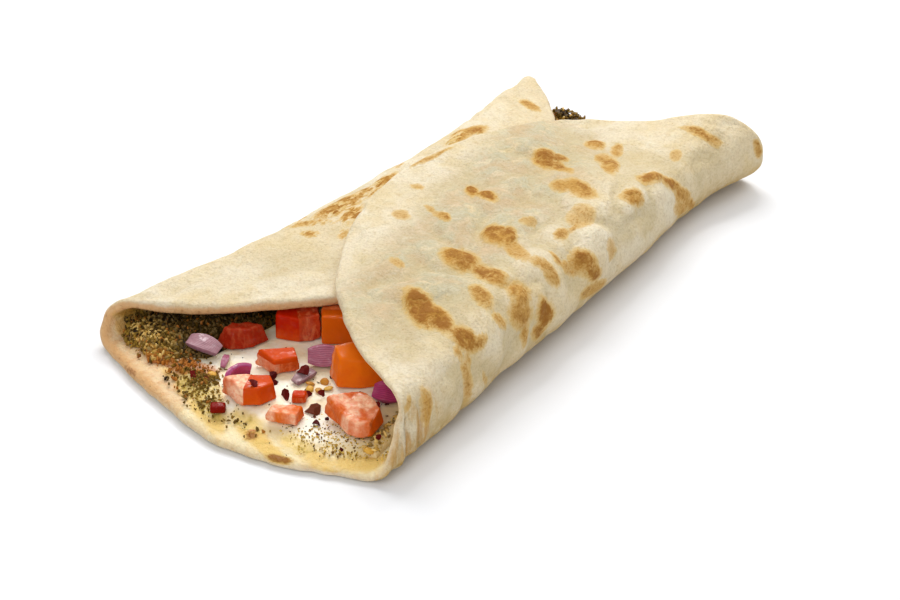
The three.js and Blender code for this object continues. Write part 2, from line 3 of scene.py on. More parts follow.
import bmesh
import bpy
import numpy as np
from mathutils import Euler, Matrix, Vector


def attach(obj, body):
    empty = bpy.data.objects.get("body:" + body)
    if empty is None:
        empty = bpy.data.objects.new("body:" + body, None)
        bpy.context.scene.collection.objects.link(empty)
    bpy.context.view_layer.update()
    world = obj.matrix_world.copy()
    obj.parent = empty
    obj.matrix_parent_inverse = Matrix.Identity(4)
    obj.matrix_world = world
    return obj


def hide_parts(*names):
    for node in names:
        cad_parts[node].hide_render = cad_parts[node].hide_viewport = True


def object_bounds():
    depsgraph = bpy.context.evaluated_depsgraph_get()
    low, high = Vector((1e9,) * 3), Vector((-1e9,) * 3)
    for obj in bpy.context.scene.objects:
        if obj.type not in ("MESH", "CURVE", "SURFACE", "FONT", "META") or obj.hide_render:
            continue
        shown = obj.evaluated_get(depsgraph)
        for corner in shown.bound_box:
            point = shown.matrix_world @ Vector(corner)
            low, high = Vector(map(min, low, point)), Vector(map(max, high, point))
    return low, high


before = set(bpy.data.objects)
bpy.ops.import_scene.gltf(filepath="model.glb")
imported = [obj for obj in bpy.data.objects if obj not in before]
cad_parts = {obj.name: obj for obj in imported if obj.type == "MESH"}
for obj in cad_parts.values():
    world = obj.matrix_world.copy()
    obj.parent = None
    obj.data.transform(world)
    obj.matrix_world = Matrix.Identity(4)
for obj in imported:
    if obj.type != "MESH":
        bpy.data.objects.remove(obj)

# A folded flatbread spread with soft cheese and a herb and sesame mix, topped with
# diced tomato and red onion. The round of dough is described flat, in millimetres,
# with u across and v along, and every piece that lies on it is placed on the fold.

CAD_BOX = [list(corner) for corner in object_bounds()]
MM = 0.001

# Camera and studio: places in metres, the lens in millimetres, light powers in watts
CAMERA_PLACE = (0.57115, -0.68089, 0.55987)
CAMERA_AIM = (0.02504, -0.02836, 0.015)
SENSOR_WIDTH = 36
LENS = 112.36
FLOOR_COLOUR = (0.84, 0.845, 0.86, 1)
FLOOR_GAP = 0.0002
SKY_STRENGTH = 0.46
LIGHTS = [
    # name, direction, distance, size, power
    ("key", (-0.8, 0.58, 1.2), 1.4, 0.9, 11.8),
    ("back", (0.1, 0.95, 1.15), 1.4, 1.0, 5.5),
    ("glint", (-0.35, 0.9, 1.2), 1.3, 0.16, 1.8),
    ("fill", (0.4, -0.88, 0.8), 1.5, 1.2, 7.4),
]

# The middle of the flat round, seen from the middle of the wrap's box
ROUND_MIDDLE = np.array([4.1841, 3.9652, 0.0])

# Dough: its thickness, its rim, and how the right flap settles on the left one
DOUGH = 4.5
RIM_ROUND = 2.2
RIM_THICKNESS = 3.3
RIM_TAPER = 8
LAP_GAP = 0.6
LAP_SETTLE = 40
CREST_RUN = 60

# Distance from the middle of the flat round to its edge, every thirty-second of a turn from +X
ROUND_REACH = np.array([
    167.2, 160.4, 152.1, 147.8, 146.5, 143.8, 139.1, 130.4,
    123.6, 123.9, 127.4, 135.1, 139.7, 139.5, 140.0, 144.7,
    149.5, 151.2, 151.2, 149.9, 146.8, 139.8, 136.1, 134.9,
    137.2, 136.0, 133.0, 135.8, 143.0, 153.2, 162.6, 167.1,
])

# The fold at stations along the wrap
STATIONS = np.array([-130.0, -95, -50, 0, 50, 95, 130])
LEFT_WALL = np.array([77.3, 68.3, 58.3, 54.2, 51.4, 61.0, 61.0])
RIGHT_WALL = np.array([65.0, 64.1, 61.0, 56.1, 50.4, 43.3, 48.3])
LEFT_HEIGHT = np.array([18.9, 19.5, 23.4, 25.2, 28.1, 23.3, 26.2])
RIGHT_HEIGHT = np.array([38.6, 29.8, 34.4, 33.1, 32.3, 26.8, 33.8])
RIGHT_CORNER = np.array([5.2, 11.1, 17.5, 20, 20, 20, 20])
LEFT_CREST = np.array([-0.3, 4.9, 2.4, 3.3, -0.5, -5.7, -9.3])

# Spreads: their gaps to the dough, the bare dough round them, and their depths
SPREAD_LIFT = 0.35
FOLD_LIFT = 0.6
BARE_RIM = 9
BARE_CORNER = 12
CORNER_RUN = 8.5
CHEESE_DEPTH = 1.8
HEAP_DEPTH = 5.0
PATCH_DEPTH = 2.6
EDGE_RUN = 4
SPREAD_GAP = 1.2
CHEESE_SPILL = 2.5

# Lumps on the surfaces, each a width in mm and a height
PILLOWS = [(19, 1.0), (11, 0.8)]
DOUGH_LUMPS = [(30, 0.5), (13, 0.6), (6.5, 0.4), (2.8, 0.16)]
CHEESE_LUMPS = [(7, 0.3), (3, 0.2), (1.4, 0.1)]
HEAP_LUMPS = [(4.5, 0.6), (1.9, 0.5), (1.1, 0.3)]
PATCH_LUMPS = [(3.5, 0.4), (1.3, 0.35)]
HERB_CLUMPS = [(7, 0.6), (3, 0.6)]
FLESH_LUMPS = [(5, 0.45), (2.2, 0.3), (1.1, 0.12)]
PULP_LUMPS = [(4, 0.9), (1.8, 0.5)]
ONION_LUMPS = [(4, 0.18), (1.7, 0.09)]

PILLOW_RISE = 2.6

# Squares in each mesh, across and along, and its steps through the thickness
BREAD_GRID = (280, 165, 6)
CHEESE_GRID = (90, 220, 1)
HEAP_GRID = (84, 230, 1)
PATCH_GRID = (34, 220, 1)
ONION_GRID = (56, 26, 6)

# Scattered bits: how many
HERBS_FRONT = 3600
HERBS_FAR = 1000
HERBS_PATCH = 110
SESAME_FRONT = 760
SESAME_FAR = 70
SESAME_PATCH = 70
FINE_FLAKES = 46

# Cut pieces
CUT_BEVEL = 0.7
CUT_GAP = 0.1
TOMATO_VOXEL = 0.42
VIEW_YAW = math.radians(40)

# Toasted spots on the sheet: u, v, half length, half width, turn in degrees, strength
TOAST_SPOTS = [
    (110, -63, 9.6, 4.5, 31, 1.0), (101, -64, 8.1, 3.5, 24, 1.0), (88, -65, 5.5, 3.8, -16, 0.85),
    (83, -61, 3.5, 1.7, -82, 0.6), (86, -71, 2.1, 1.5, 0, 0.55), (81, -68, 2.1, 1.1, -7, 0.5),
    (114, -31, 7.2, 5.2, 3, 0.85), (99, -33, 7.7, 4.1, 7, 0.8), (85, -32, 5.1, 4.4, -28, 0.75),
    (79, -36, 5.8, 4.7, -37, 0.7), (70, -36, 3.9, 2.2, 13, 0.7), (95, -45, 5.3, 3.1, 18, 0.65),
    (83, -47, 3.3, 1.8, -19, 0.6), (109, -11, 5.9, 4.9, 10, 0.9), (104, -9, 5.2, 2.8, 63, 0.9),
    (98, -14, 7.6, 3.1, 28, 0.5), (72, -24, 5.7, 3.5, -6, 1.0), (65, -27, 4.7, 2.7, -43, 0.7),
    (85, -14, 5.3, 2.5, -20, 0.65), (80, -14, 3.5, 2.4, -28, 0.6), (84, -5, 3.3, 1.3, 6, 0.6),
    (75, 5, 5.9, 4.2, -37, 0.8), (70, 7, 5.9, 2.7, -44, 0.8), (77, -2, 4.4, 2.2, -36, 0.5),
    (61, 9, 9.4, 2.6, -69, 0.5), (89, 7, 3.6, 2.3, -88, 0.6), (87, 14, 3.1, 1.3, -81, 0.6),
    (88, 21, 5.3, 4.5, -79, 0.25), (103, 33, 4.6, 3.3, -35, 0.6), (96, 35, 6.7, 4.3, 14, 0.75),
    (118, 46, 5.2, 4.7, 57, 0.95), (113, 51, 3.3, 2.1, -53, 0.7), (110, 45, 5.9, 2.5, 23, 0.65),
    (103, 74, 4.7, 3.5, -58, 0.75), (93, 76, 4.2, 2.2, 89, 0.65), (97, 65, 4.6, 2.6, -71, 0.6),
    (93, 62, 6.8, 3.8, 80, 0.7), (77, 48, 5.2, 3.3, -52, 0.8), (74, 66, 7.0, 2.6, -49, 0.75),
    (65, 73, 7.1, 2.5, -44, 0.8), (57, 78, 6.5, 2.5, -46, 0.65), (50, 83, 8.5, 1.7, -41, 0.7),
    (52, 76, 7.6, 2.4, -48, 0.5), (133, 10, 3.2, 2.4, 45, 1.0), (125, 9, 5.0, 2.4, 21, 0.9),
    (133, -12, 3.7, 1.8, 26, 0.75), (140, -10, 4.4, 1.0, 25, 0.35), (149, -19, 3.5, 2.5, 1, 0.35),
    (154, 1, 2.6, 1.3, -9, 0.45), (73, 106, 7.0, 2.0, -3, 0.65), (68, 108, 2.8, 1.6, -12, 0.5),
    (59, 124, 4.0, 1.7, -13, 0.6), (74, -71, 8.3, 2.0, -1, 0.5), (80, -95, 5.8, 2.7, 8, 0.55),
    (87, -104, 2.4, 1.1, 50, 0.35), (68, -61, 3.9, 0.9, -24, 0.3), (103, 4, 3.2, 1.9, -40, 0.25),
    (134, -45, 3.2, 1.6, 8, 0.25), (70, 89, 3.0, 2.0, 75, 0.25), (70, 22, 3.4, 3.2, 32, 0.3),
    (-81, -20, 10.7, 3.9, 87, 0.85), (-89, -21, 7.0, 3.7, 58, 0.9), (-81, -8, 6.0, 3.2, 90, 0.7),
    (-81, 3, 6.5, 2.7, 81, 0.95), (-83, -35, 7.5, 1.9, -46, 0.6), (-89, -41, 2.7, 2.2, -24, 0.65),
    (-98, -34, 3.2, 1.7, 46, 0.55), (-81, 50, 7.2, 3.4, -61, 0.75), (-81, 42, 5.0, 2.0, -78, 0.8),
    (-71, 19, 6.8, 2.1, 38, 0.3), (-75, -34, 7.9, 1.9, 50, 0.5), (-95, 88, 4.7, 2.2, 9, 0.6),
    (159, 20, 9.2, 0.8, -66, 0.6),
]

# Toasted spots on the inner face, in the open front and the open far end
INNER_SPOTS = [
    (13.1, -128.6, 3.2, 2.3, -44, 0.95), (28.5, -131.4, 5.0, 1.7, 20, 1.1), (-80, -105, 8, 5, 60, 0.7),
    (-70, -108, 11.1, 4.6, -7, 0.5), (20, 112, 5.0, 2.4, 20, 0.6), (-8, 119, 3.2, 1.8, -30, 0.5),
]

# Oil that the herbs have let out, on the inner face: u, v, half length, half width, turn, strength
OIL_SPOTS = [
    (-34, -119, 9, 4, -12, 0.6), (-14, -122, 13, 6, -28, 1.0), (-4, -130, 10, 4, -25, 0.9),
    (10, -126, 12, 5, -20, 0.8), (36, -124, 16, 4, -4, 0.75), (52, -116, 12, 5, 40, 0.8),
    (-62, -112, 14, 9, -20, 0.2), (-80, -96, 12, 16, 10, 1.0), (20, -130, 14, 3, -8, 0.9),
    (-24, -120, 10, 6, -30, 1.0), (-10, -127, 12, 5, -22, 1.0), (-30, 112, 18, 6, 15, 0.8),
    (14, 108, 14, 5, 4, 0.6), (34, 104, 10, 5, -20, 0.6),
]

# Where the herb heap has baked to a crust
CRUST_SPOTS = [(-40, -118, 9, 3.5, 12, 1.0), (-29, -114, 8, 3, 20, 1.0)]

# Herbs that lie loose past the heap: u, v, spread across, spread along, number
LOOSE_HERBS = [
    (-38, -114, 8, 2.6, 240), (-26, -116, 5, 4, 130), (-14, -123, 6, 3, 70), (-70, -103, 5, 7, 200),
    (-20.5, -116.5, 2.5, 2.7, 230), (-12, -126, 7, 2, 70), (-56, -113, 8, 3, 220),
    (3, -126, 9, 3, 30), (-24, 112, 4, 9, 320), (-38, 127, 9, 3, 260), (-56, 122, 6, 5, 260),
    (-6, 112, 10, 8, 110), (30, 106, 7, 8, 90),
]


# The fold

def smooth(value):
    t = np.clip(value, 0, 1)
    return t * t * (3 - 2 * t)


def window(value, start, rise, end, fall):
    """1 from start to end, its sides as soft as rise and fall are wide."""
    return smooth((value - start) / rise) * smooth((end - value) / fall)


def blend(a, b, share):
    return a + (b - a) * share


def hermite(a, b, slope_a, slope_b, t):
    return ((2 * t**3 - 3 * t**2 + 1) * a + (t**3 - 2 * t**2 + t) * slope_a
            + (3 * t**2 - 2 * t**3) * b + (t**3 - t**2) * slope_b)


def station_slopes(values):
    steps = np.diff(STATIONS)
    rises = np.diff(values) / steps
    inner = (rises[1:] * steps[:-1] + rises[:-1] * steps[1:]) / (steps[:-1] + steps[1:])
    return np.concatenate([rises[:1], inner, rises[-1:]])


def along(values, v):
    v = np.clip(v, STATIONS[0], STATIONS[-1])
    i = np.clip(np.searchsorted(STATIONS, v, side="right") - 1, 0, len(STATIONS) - 2)
    step = STATIONS[i + 1] - STATIONS[i]
    slopes = station_slopes(values)
    t = (v - STATIONS[i]) / step
    return hermite(values[i], values[i + 1], step * slopes[i], step * slopes[i + 1], t)


def round_reach(angle):
    count = len(ROUND_REACH)
    turn = (angle / (2 * math.pi)) % 1 * count
    i = np.floor(turn).astype(int) % count
    at = [ROUND_REACH[(i + k) % count] for k in (-1, 0, 1, 2)]
    return hermite(at[1], at[2], (at[2] - at[0]) / 2, (at[3] - at[1]) / 2, turn - np.floor(turn))


def rim_station(u, end):
    """How far along the rim lies at u; end is -1 at the front and 1 at the far end."""
    v = end * np.full_like(u, ROUND_REACH[len(ROUND_REACH) // 4])
    for _ in range(8):
        reach = round_reach(np.arctan2(v, u))
        v = end * np.sqrt(np.maximum(reach**2 - u**2, 1))
    return v


def fold_at(u, v):
    """The fold's height, the radius of its corners and the half width of its flat part."""
    left = u < 0
    height = np.where(left, along(LEFT_HEIGHT, v), along(RIGHT_HEIGHT, v))
    wall = np.where(left, along(LEFT_WALL, v), along(RIGHT_WALL, v))
    corner = np.where(left, height / 2, np.minimum(height / 2, along(RIGHT_CORNER, v)))
    return height, corner, wall - corner


def left_flap_height(x, v):
    height = along(LEFT_HEIGHT, v)
    flat = along(LEFT_WALL, v) - height / 2
    return height + along(LEFT_CREST, v) * smooth((x + flat) / CREST_RUN)


def outer_point(u, v):
    """Where a point of the round's outer face lies: flat, round the fold, then over the filling."""
    height, radius, flat = fold_at(u, v)
    left = u < 0
    side = np.where(left, -1.0, 1.0)
    reach = np.abs(u)
    upright = height - 2 * radius
    rise = np.clip(reach - flat - math.pi / 2 * radius, 0, upright)
    turn = np.clip((reach - flat - rise) / radius, 0, math.pi)
    past = np.maximum(reach - flat - math.pi * radius - upright, 0)
    x = side * (np.minimum(reach, flat) + radius * np.sin(turn) - past)
    laid = left_flap_height(x, v)
    settled = smooth(past / LAP_SETTLE)
    over = np.where(left, laid, (1 - settled) * height + settled * (laid + DOUGH + LAP_GAP))
    z = np.where(past > 0, over, radius * (1 - np.cos(turn)) + rise)
    return np.stack([x, v, z], axis=-1)


def sheet_point(u, v, inwards):
    """A point of the folded sheet, measured inwards from its outer face."""
    step = 0.05
    across = outer_point(u + step, v) - outer_point(u - step, v)
    lengthwise = outer_point(u, v + step) - outer_point(u, v - step)
    normal = np.cross(across, lengthwise)
    normal /= np.linalg.norm(normal, axis=-1, keepdims=True)
    return outer_point(u, v) + normal * np.asarray(inwards)[..., None]


def thickness_at(u, v):
    """The dough is thinner at the rim, except in the left corner."""
    edge = round_reach(np.arctan2(v, u)) - np.hypot(u, v)
    taper = smooth((u + 20) / 40) * (1 - smooth(edge / RIM_TAPER))
    return blend(DOUGH, RIM_THICKNESS, taper)


# Uneven surfaces

class Lumps:
    """Seeded soft lumps over a plane, between -1 and 1."""

    SIDE = 128

    def __init__(self, seed):
        self.table = np.random.default_rng(seed).uniform(-1, 1, (self.SIDE, self.SIDE))

    def at(self, x, y):
        i, j = np.floor(x).astype(int), np.floor(y).astype(int)
        s, t = smooth(x - i), smooth(y - j)
        take = lambda a, b: self.table[(i + a) % self.SIDE, (j + b) % self.SIDE]
        return blend(blend(take(0, 0), take(1, 0), s), blend(take(0, 1), take(1, 1), s), t)

    def layered(self, x, y, sizes, turn=0.6):
        """Lumps of several sizes, each a pair of width in mm and height."""
        total = 0
        for k, (width, height) in enumerate(sizes):
            c, s = math.cos(turn * (k + 1)), math.sin(turn * (k + 1))
            total = total + height * self.at((c * x - s * y) / width + 17.3 * k, (s * x + c * y) / width)
        return total


def spots_at(u, v, spots, halo, swell=1.0):
    """Listed spots: their shape, 1 inside and 0 past a soft edge, and how strong the nearest is."""
    shape = np.zeros_like(u)
    total = np.full_like(u, 1e-6)
    strength = np.zeros_like(u)
    for centre_u, centre_v, length, width, turn, weight in spots:
        c, s = math.cos(math.radians(turn)), math.sin(math.radians(turn))
        du, dv = u - centre_u, v - centre_v
        reach = np.hypot((c * du + s * dv) / (length * swell), (-s * du + c * dv) / (width * swell))
        inside = smooth((1 + halo - reach) / (2 * halo))
        share = 1 / (0.05 + reach**4)
        total += share
        strength += weight * share
        shape = np.maximum(shape, inside)
    return shape, strength / total


# Mesh helpers

def in_order(place):
    """A number that sorts the parts of a slab, so that each run lists them alike."""
    return 1e6 * round(place.z, 3) + 1e3 * place.y + place.x


def slab(columns, rows, side_steps):
    """A flat slab: x and y from -1 to 1, z from 0 to 1, its sides cut into steps."""
    bm = bmesh.new()
    bmesh.ops.create_grid(bm, x_segments=columns, y_segments=rows, size=1)
    grown = bmesh.ops.extrude_face_region(bm, geom=bm.faces[:])
    lifted = [part for part in grown["geom"] if isinstance(part, bmesh.types.BMVert)]
    bmesh.ops.translate(bm, verts=lifted, vec=(0, 0, 1))
    if side_steps > 1:
        upright = [edge for edge in bm.edges if abs(edge.verts[0].co.z - edge.verts[1].co.z) > 0.5]
        bmesh.ops.subdivide_edges(bm, edges=upright, cuts=side_steps - 1)
    bmesh.ops.recalc_face_normals(bm, faces=bm.faces)
    bm.verts.sort(key=lambda vert: in_order(vert.co))
    bm.faces.sort(key=lambda face: in_order(face.calc_center_median()))
    mesh = bpy.data.meshes.new("slab")
    bm.to_mesh(mesh)
    bm.free()
    return mesh


def points_of(mesh):
    flat = np.empty(len(mesh.vertices) * 3)
    mesh.vertices.foreach_get("co", flat)
    return flat.reshape(-1, 3)


def normals_of(mesh):
    flat = np.empty(len(mesh.vertices) * 3, np.float32)
    mesh.vertex_normals.foreach_get("vector", flat)
    return flat.reshape(-1, 3).astype(float)


def move_points(mesh, points):
    mesh.vertices.foreach_set("co", np.asarray(points, np.float32).ravel())
    mesh.update()


def in_frame(points):
    """From millimetres on the fold to metres in the scene, kept inside the CAD box."""
    placed = (points + ROUND_MIDDLE) * MM
    return np.clip(placed, CAD_BOX[0], CAD_BOX[1])


def paint(mesh, **layers):
    """Named values on a mesh's points, which its finish reads."""
    for name, values in layers.items():
        layer = mesh.attributes.new(name, "FLOAT", "POINT")
        layer.data.foreach_set("value", np.full(len(mesh.vertices), values, np.float32))


def face_outwards(mesh):
    bm = bmesh.new()
    bm.from_mesh(mesh)
    bmesh.ops.recalc_face_normals(bm, faces=bm.faces)
    bm.to_mesh(mesh)
    bm.free()


def piece(name, mesh, finish, nodes=(), smooth_shade=True):
    mesh.name = name
    mesh.polygons.foreach_set("use_smooth", [smooth_shade] * len(mesh.polygons))
    mesh.materials.clear()
    mesh.materials.append(finish)
    made = bpy.data.objects.new(name, mesh)
    bpy.context.scene.collection.objects.link(made)
    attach(made, "root")
    if nodes:
        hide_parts(*nodes)
    return made


def remeshed(mesh, voxel):
    """A mesh rebuilt in even small faces."""
    carrier = bpy.data.objects.new("carrier", mesh)
    bpy.context.scene.collection.objects.link(carrier)
    modifier = carrier.modifiers.new("remesh", "REMESH")
    modifier.mode = "VOXEL"
    modifier.voxel_size = voxel
    finished = bpy.data.meshes.new_from_object(carrier.evaluated_get(bpy.context.evaluated_depsgraph_get()))
    bpy.data.objects.remove(carrier)
    return finished


# Finishes

class Wire:
    """An output socket whose maths is written as an expression."""

    def __init__(self, finish, socket):
        self.finish = finish
        self.socket = socket

    def __add__(self, other):
        return self.finish.maths("ADD", self, other)

    def __sub__(self, other):
        return self.finish.maths("SUBTRACT", self, other)

    def __rsub__(self, other):
        return self.finish.maths("SUBTRACT", other, self)

    def __mul__(self, other):
        return self.finish.maths("MULTIPLY", self, other)

    __radd__ = __add__
    __rmul__ = __mul__

    def most(self, other):
        return self.finish.maths("MAXIMUM", self, other)

    def step(self, low, high):
        """0 below low, 1 above high, with a soft change between them."""
        node = self.finish.node("ShaderNodeMapRange", {"interpolation_type": "SMOOTHSTEP"}, {
            "Value": self, "From Min": low, "From Max": high,
        })
        return Wire(self.finish, node.outputs["Result"])


class Finish:
    """One surface finish and the nodes that make it."""

    def __init__(self, name):
        self.material = bpy.data.materials.new(name)
        self.material.use_nodes = True
        self.tree = self.material.node_tree
        self.tree.nodes.clear()
        self.place = Wire(self, self.node("ShaderNodeTexCoord").outputs["Object"])

    def node(self, kind, settings=None, sockets=None):
        made = self.tree.nodes.new(kind)
        for key, value in (settings or {}).items():
            setattr(made, key, value)
        for key, value in (sockets or {}).items():
            if isinstance(value, Wire):
                self.tree.links.new(value.socket, made.inputs[key])
            else:
                made.inputs[key].default_value = value
        return made

    def maths(self, operation, *values):
        node = self.node("ShaderNodeMath", {"operation": operation}, dict(enumerate(values)))
        return Wire(self, node.outputs[0])

    def painted(self, name):
        node = self.node("ShaderNodeAttribute", {"attribute_name": name})
        return Wire(self, node.outputs["Fac"])

    def noise(self, size_mm, detail=3, roughness=0.55, warp=0.0, stretch=None):
        """Noise whose lumps are about size_mm across."""
        place = self.place
        if stretch:
            mapping = self.node("ShaderNodeMapping", {}, {"Vector": place, "Scale": stretch})
            place = Wire(self, mapping.outputs["Vector"])
        node = self.node("ShaderNodeTexNoise", {}, {
            "Vector": place, "Scale": 1000 / size_mm, "Detail": detail, "Roughness": roughness,
            "Distortion": warp,
        })
        return Wire(self, node.outputs["Fac"])

    def cells(self, size_mm):
        node = self.node("ShaderNodeTexVoronoi", {}, {"Vector": self.place, "Scale": 1000 / size_mm})
        return Wire(self, node.outputs["Distance"])

    def mix(self, share, base, over):
        node = self.node("ShaderNodeMix", {"data_type": "RGBA"}, {0: share, 6: base, 7: over})
        return Wire(self, node.outputs[2])

    def cover(self, base, *coats):
        """A base colour under coats, each a share and a colour."""
        for share, colour in coats:
            base = self.mix(share, base, colour)
        return base

    def bump(self, height, depth_mm, strength):
        node = self.node("ShaderNodeBump", {}, {
            "Height": height, "Distance": depth_mm * MM, "Strength": strength,
        })
        return Wire(self, node.outputs["Normal"])

    def surface(self, **sockets):
        shader = self.node("ShaderNodeBsdfPrincipled", {}, {
            key.replace("_", " "): value for key, value in sockets.items()
        })
        output = self.node("ShaderNodeOutputMaterial")
        self.tree.links.new(shader.outputs["BSDF"], output.inputs["Surface"])
        return self.material


def tone(red, green, blue):
    """A linear colour from display values between 0 and 255."""
    def linear(value):
        share = value / 255
        return share / 12.92 if share <= 0.04045 else ((share + 0.055) / 1.055) ** 2.4
    return (linear(red), linear(green), linear(blue), 1.0)


def bread_finish():
    finish = Finish("baked_dough")
    toast, char, crisp, chalk = (finish.painted(name) for name in ("toast", "char", "crisp", "chalk"))
    broad = finish.noise(34, 2)
    patchy = finish.noise(13, 4, 0.6, 0.4)
    mottled = finish.noise(5.5, 4, 0.6, 0.6)
    fine = finish.noise(2.4, 4, 0.6)
    grit = finish.noise(0.9, 3, 0.6)
    upright = finish.noise(3.2, 3, 0.6, 0.3, (1, 1, 0.16))
    cream = finish.mix(mottled.step(0.35, 0.7) * 0.5, tone(246, 232, 190), tone(238, 212, 146))
    baked = (crisp + (mottled - 0.5) * 0.6 + (fine - 0.5) * 0.4).step(0.15, 0.95)
    band = (finish.painted("band") + (mottled - 0.5) * 0.5).step(0.2, 0.9)
    singed = (crisp + (fine - 0.5) * 1.2 + (broad - 0.5) * 1.4).step(1.0, 1.3)
    soaked = (finish.painted("oil") + (patchy - 0.5) * 0.5 + (fine - 0.5) * 0.3).step(0.2, 0.85)
    dough = finish.cover(
        tone(226, 214, 188),
        (broad.step(0.35, 0.65), tone(220, 203, 168)),
        (patchy.step(0.42, 0.68) * 0.6, tone(216, 194, 146)),
        (chalk * mottled.step(0.28, 0.58) * 0.9, tone(186, 179, 150)),
        (chalk * patchy.step(0.6, 0.38) * 0.6, tone(200, 168, 126)),
        (mottled.step(0.5, 0.72) * 0.35, tone(230, 220, 192)),
        # painted shade: the dents of the relief are painted darker and greyer
        (finish.painted("dent").step(0.1, 0.9) * 0.55, tone(196, 178, 136)),
        (fine.step(0.48, 0.75) * 0.3, tone(184, 158, 104)),
        (grit.step(0.45, 0.65) * 0.2, tone(150, 122, 76)),
        (finish.painted("warm").step(0.05, 0.9) * 0.8, tone(196, 146, 92)),
        (finish.painted("low") * mottled.step(0.2, 0.65) * 0.95, tone(180, 144, 66)),
        (finish.painted("streak") * upright.step(0.42, 0.64) * 0.8, tone(190, 140, 62)),
        # the inner face is painted a lighter cream: partly the dough's paler inside, partly painted light on
        # the shaded inside of the fold
        (finish.painted("inner") * 0.8, cream),
        (band * (0.5 + fine.step(0.4, 0.7) * 0.35), tone(216, 168, 122)),
        (baked * 0.75, tone(208, 156, 98)),
        (singed * 0.7, tone(140, 84, 40)),
        (soaked * 0.8, tone(226, 184, 78)),
    )
    folds = finish.noise(1.9, 3, 0.6, 0.5, (1, 0.3, 1)).step(0.48, 0.62)
    ragged = toast + (mottled - 0.5) * 0.9 + (fine - 0.5) * 0.8 + (grit - 0.5) * 0.5
    ragged = ragged - finish.painted("wrinkled") * folds * 0.8
    near = toast.step(0.0, 0.35)
    around = (finish.painted("halo") + (mottled - 0.5) * 0.8 + (fine - 0.5) * 0.5).step(0.1, 1.1)
    core = ragged.step(0.35, 1.05) * near
    dark = (ragged + (char - 0.75) * 0.8 + (patchy - 0.5) * 0.9).step(0.75, 1.3) * near
    specks = finish.cells(2.2).step(0.17, 0.08) * finish.noise(8, 2).step(0.56, 0.64)
    toasted = finish.cover(
        dough,
        (around * 0.75, tone(210, 178, 108)),
        (ragged.step(-0.05, 0.55) * near * 0.55, tone(208, 168, 86)),
        (core * (char * 0.85 + 0.1), tone(186, 134, 44)),
        (core * grit.step(0.45, 0.7) * 0.4, tone(160, 104, 30)),
        (dark * 0.85, tone(142, 88, 24)),
        (specks * 0.45, tone(160, 112, 54)),
    )
    return finish.surface(
        Base_Color=toasted,
        Roughness=0.8 - soaked * 0.42 + grit * 0.12,
        Specular_IOR_Level=0.3,
        Subsurface_Weight=0.1,
        Subsurface_Radius=(0.6, 0.4, 0.22),
        Subsurface_Scale=0.003,
        Normal=finish.bump(mottled * 0.45 + fine * 0.35 + grit * 0.2, 2.3, 0.9),
    )


def cheese_finish():
    finish = Finish("soft_cheese")
    oil, toast = finish.painted("oil"), finish.painted("toast")
    broad = finish.noise(12, 3)
    mottled = finish.noise(4.5, 4, 0.6, 0.5)
    fine = finish.noise(1.8, 4, 0.6)
    soaked = (oil + (broad - 0.5) * 0.4 + (mottled - 0.5) * 0.8).step(0.25, 0.95)
    green = (oil + (mottled - 0.5) * 1.1 + (fine - 0.5) * 0.6).step(0.62, 1.2)
    crust = finish.painted("burnt") + (mottled - 0.5) * 1.1
    base = finish.cover(
        tone(252, 247, 228),
        (broad.step(0.38, 0.62), tone(248, 232, 194)),
        (fine.step(0.5, 0.8) * 0.3, tone(222, 194, 132)),
        ((finish.painted("thin") + (mottled - 0.5) * 0.6).step(0.2, 0.9) * 0.85, tone(228, 204, 150)),
        (soaked * 0.8, tone(228, 192, 80)),
        (green * 0.7, tone(142, 118, 36)),
        ((toast + (mottled - 0.5) * 0.5).step(0.25, 0.75) * 0.85, tone(196, 112, 40)),
        ((toast + (fine - 0.5) * 0.8).step(0.75, 1.15) * 0.8, tone(120, 58, 20)),
        (crust.step(0.35, 0.8) * 0.8, tone(188, 112, 40)),
        ((crust + (fine - 0.5) * 1.2).step(0.9, 1.3) * 0.8, tone(106, 58, 20)),
    )
    return finish.surface(
        Base_Color=base,
        Roughness=0.45 - soaked * 0.2 + fine * 0.1,
        Specular_IOR_Level=0.4,
        Subsurface_Weight=0.12,
        Subsurface_Radius=(0.6, 0.52, 0.4),
        Subsurface_Scale=0.003,
        Normal=finish.bump(broad * 0.35 + mottled * 0.35 + fine * 0.3, 1.1, 0.9),
    )


def herb_bed_finish():
    finish = Finish("herb_mix_bed")
    wet = finish.noise(6, 3)
    clumps = finish.noise(2.6, 4, 0.6)
    fine = finish.noise(1.1, 4, 0.65)
    bare = (finish.painted("thin") + (clumps - 0.5) * 1.6 + (fine - 0.5) * 0.5).step(0.35, 0.85)
    dough = finish.mix(finish.painted("cream"), tone(210, 166, 112), tone(236, 210, 154))
    base = finish.cover(
        tone(44, 27, 6),
        (fine.step(0.35, 0.7), tone(116, 84, 24)),
        (wet.step(0.5, 0.75) * 0.5, tone(70, 54, 14)),
        # painted shade where the left flap hangs over the heap
        (finish.painted("deep") * 0.8, tone(26, 14, 5)),
        (bare * 0.9, dough),
        ((finish.painted("burnt") + (clumps - 0.5) * 0.8).step(0.3, 0.8) * 0.85, tone(178, 102, 36)),
    )
    return finish.surface(
        Base_Color=base,
        Roughness=0.6 - wet * 0.25,
        Specular_IOR_Level=0.35,
        Normal=finish.bump(fine * 0.6 + clumps * 0.4, 0.9, 0.9),
    )


def grain_finish(name, dull, bright, odd, roughness=0.5, coat=0.0):
    """Scattered bits: each carries its own painted shade."""
    finish = Finish(name)
    fine = finish.noise(0.5, 3)
    base = finish.cover(
        dull,
        (finish.painted("shade"), bright),
        # the odd colour: a real odd tone, and on sesame under the left flap painted shade
        (finish.painted("odd"), odd),
        (fine.step(0.5, 0.8) * 0.25, tone(52, 34, 14)),
    )
    return finish.surface(
        Base_Color=base,
        Roughness=roughness,
        Specular_IOR_Level=0.08,
        Coat_Weight=coat,
        Coat_Roughness=0.2,
        Normal=finish.bump(fine, 0.12, 0.6),
    )


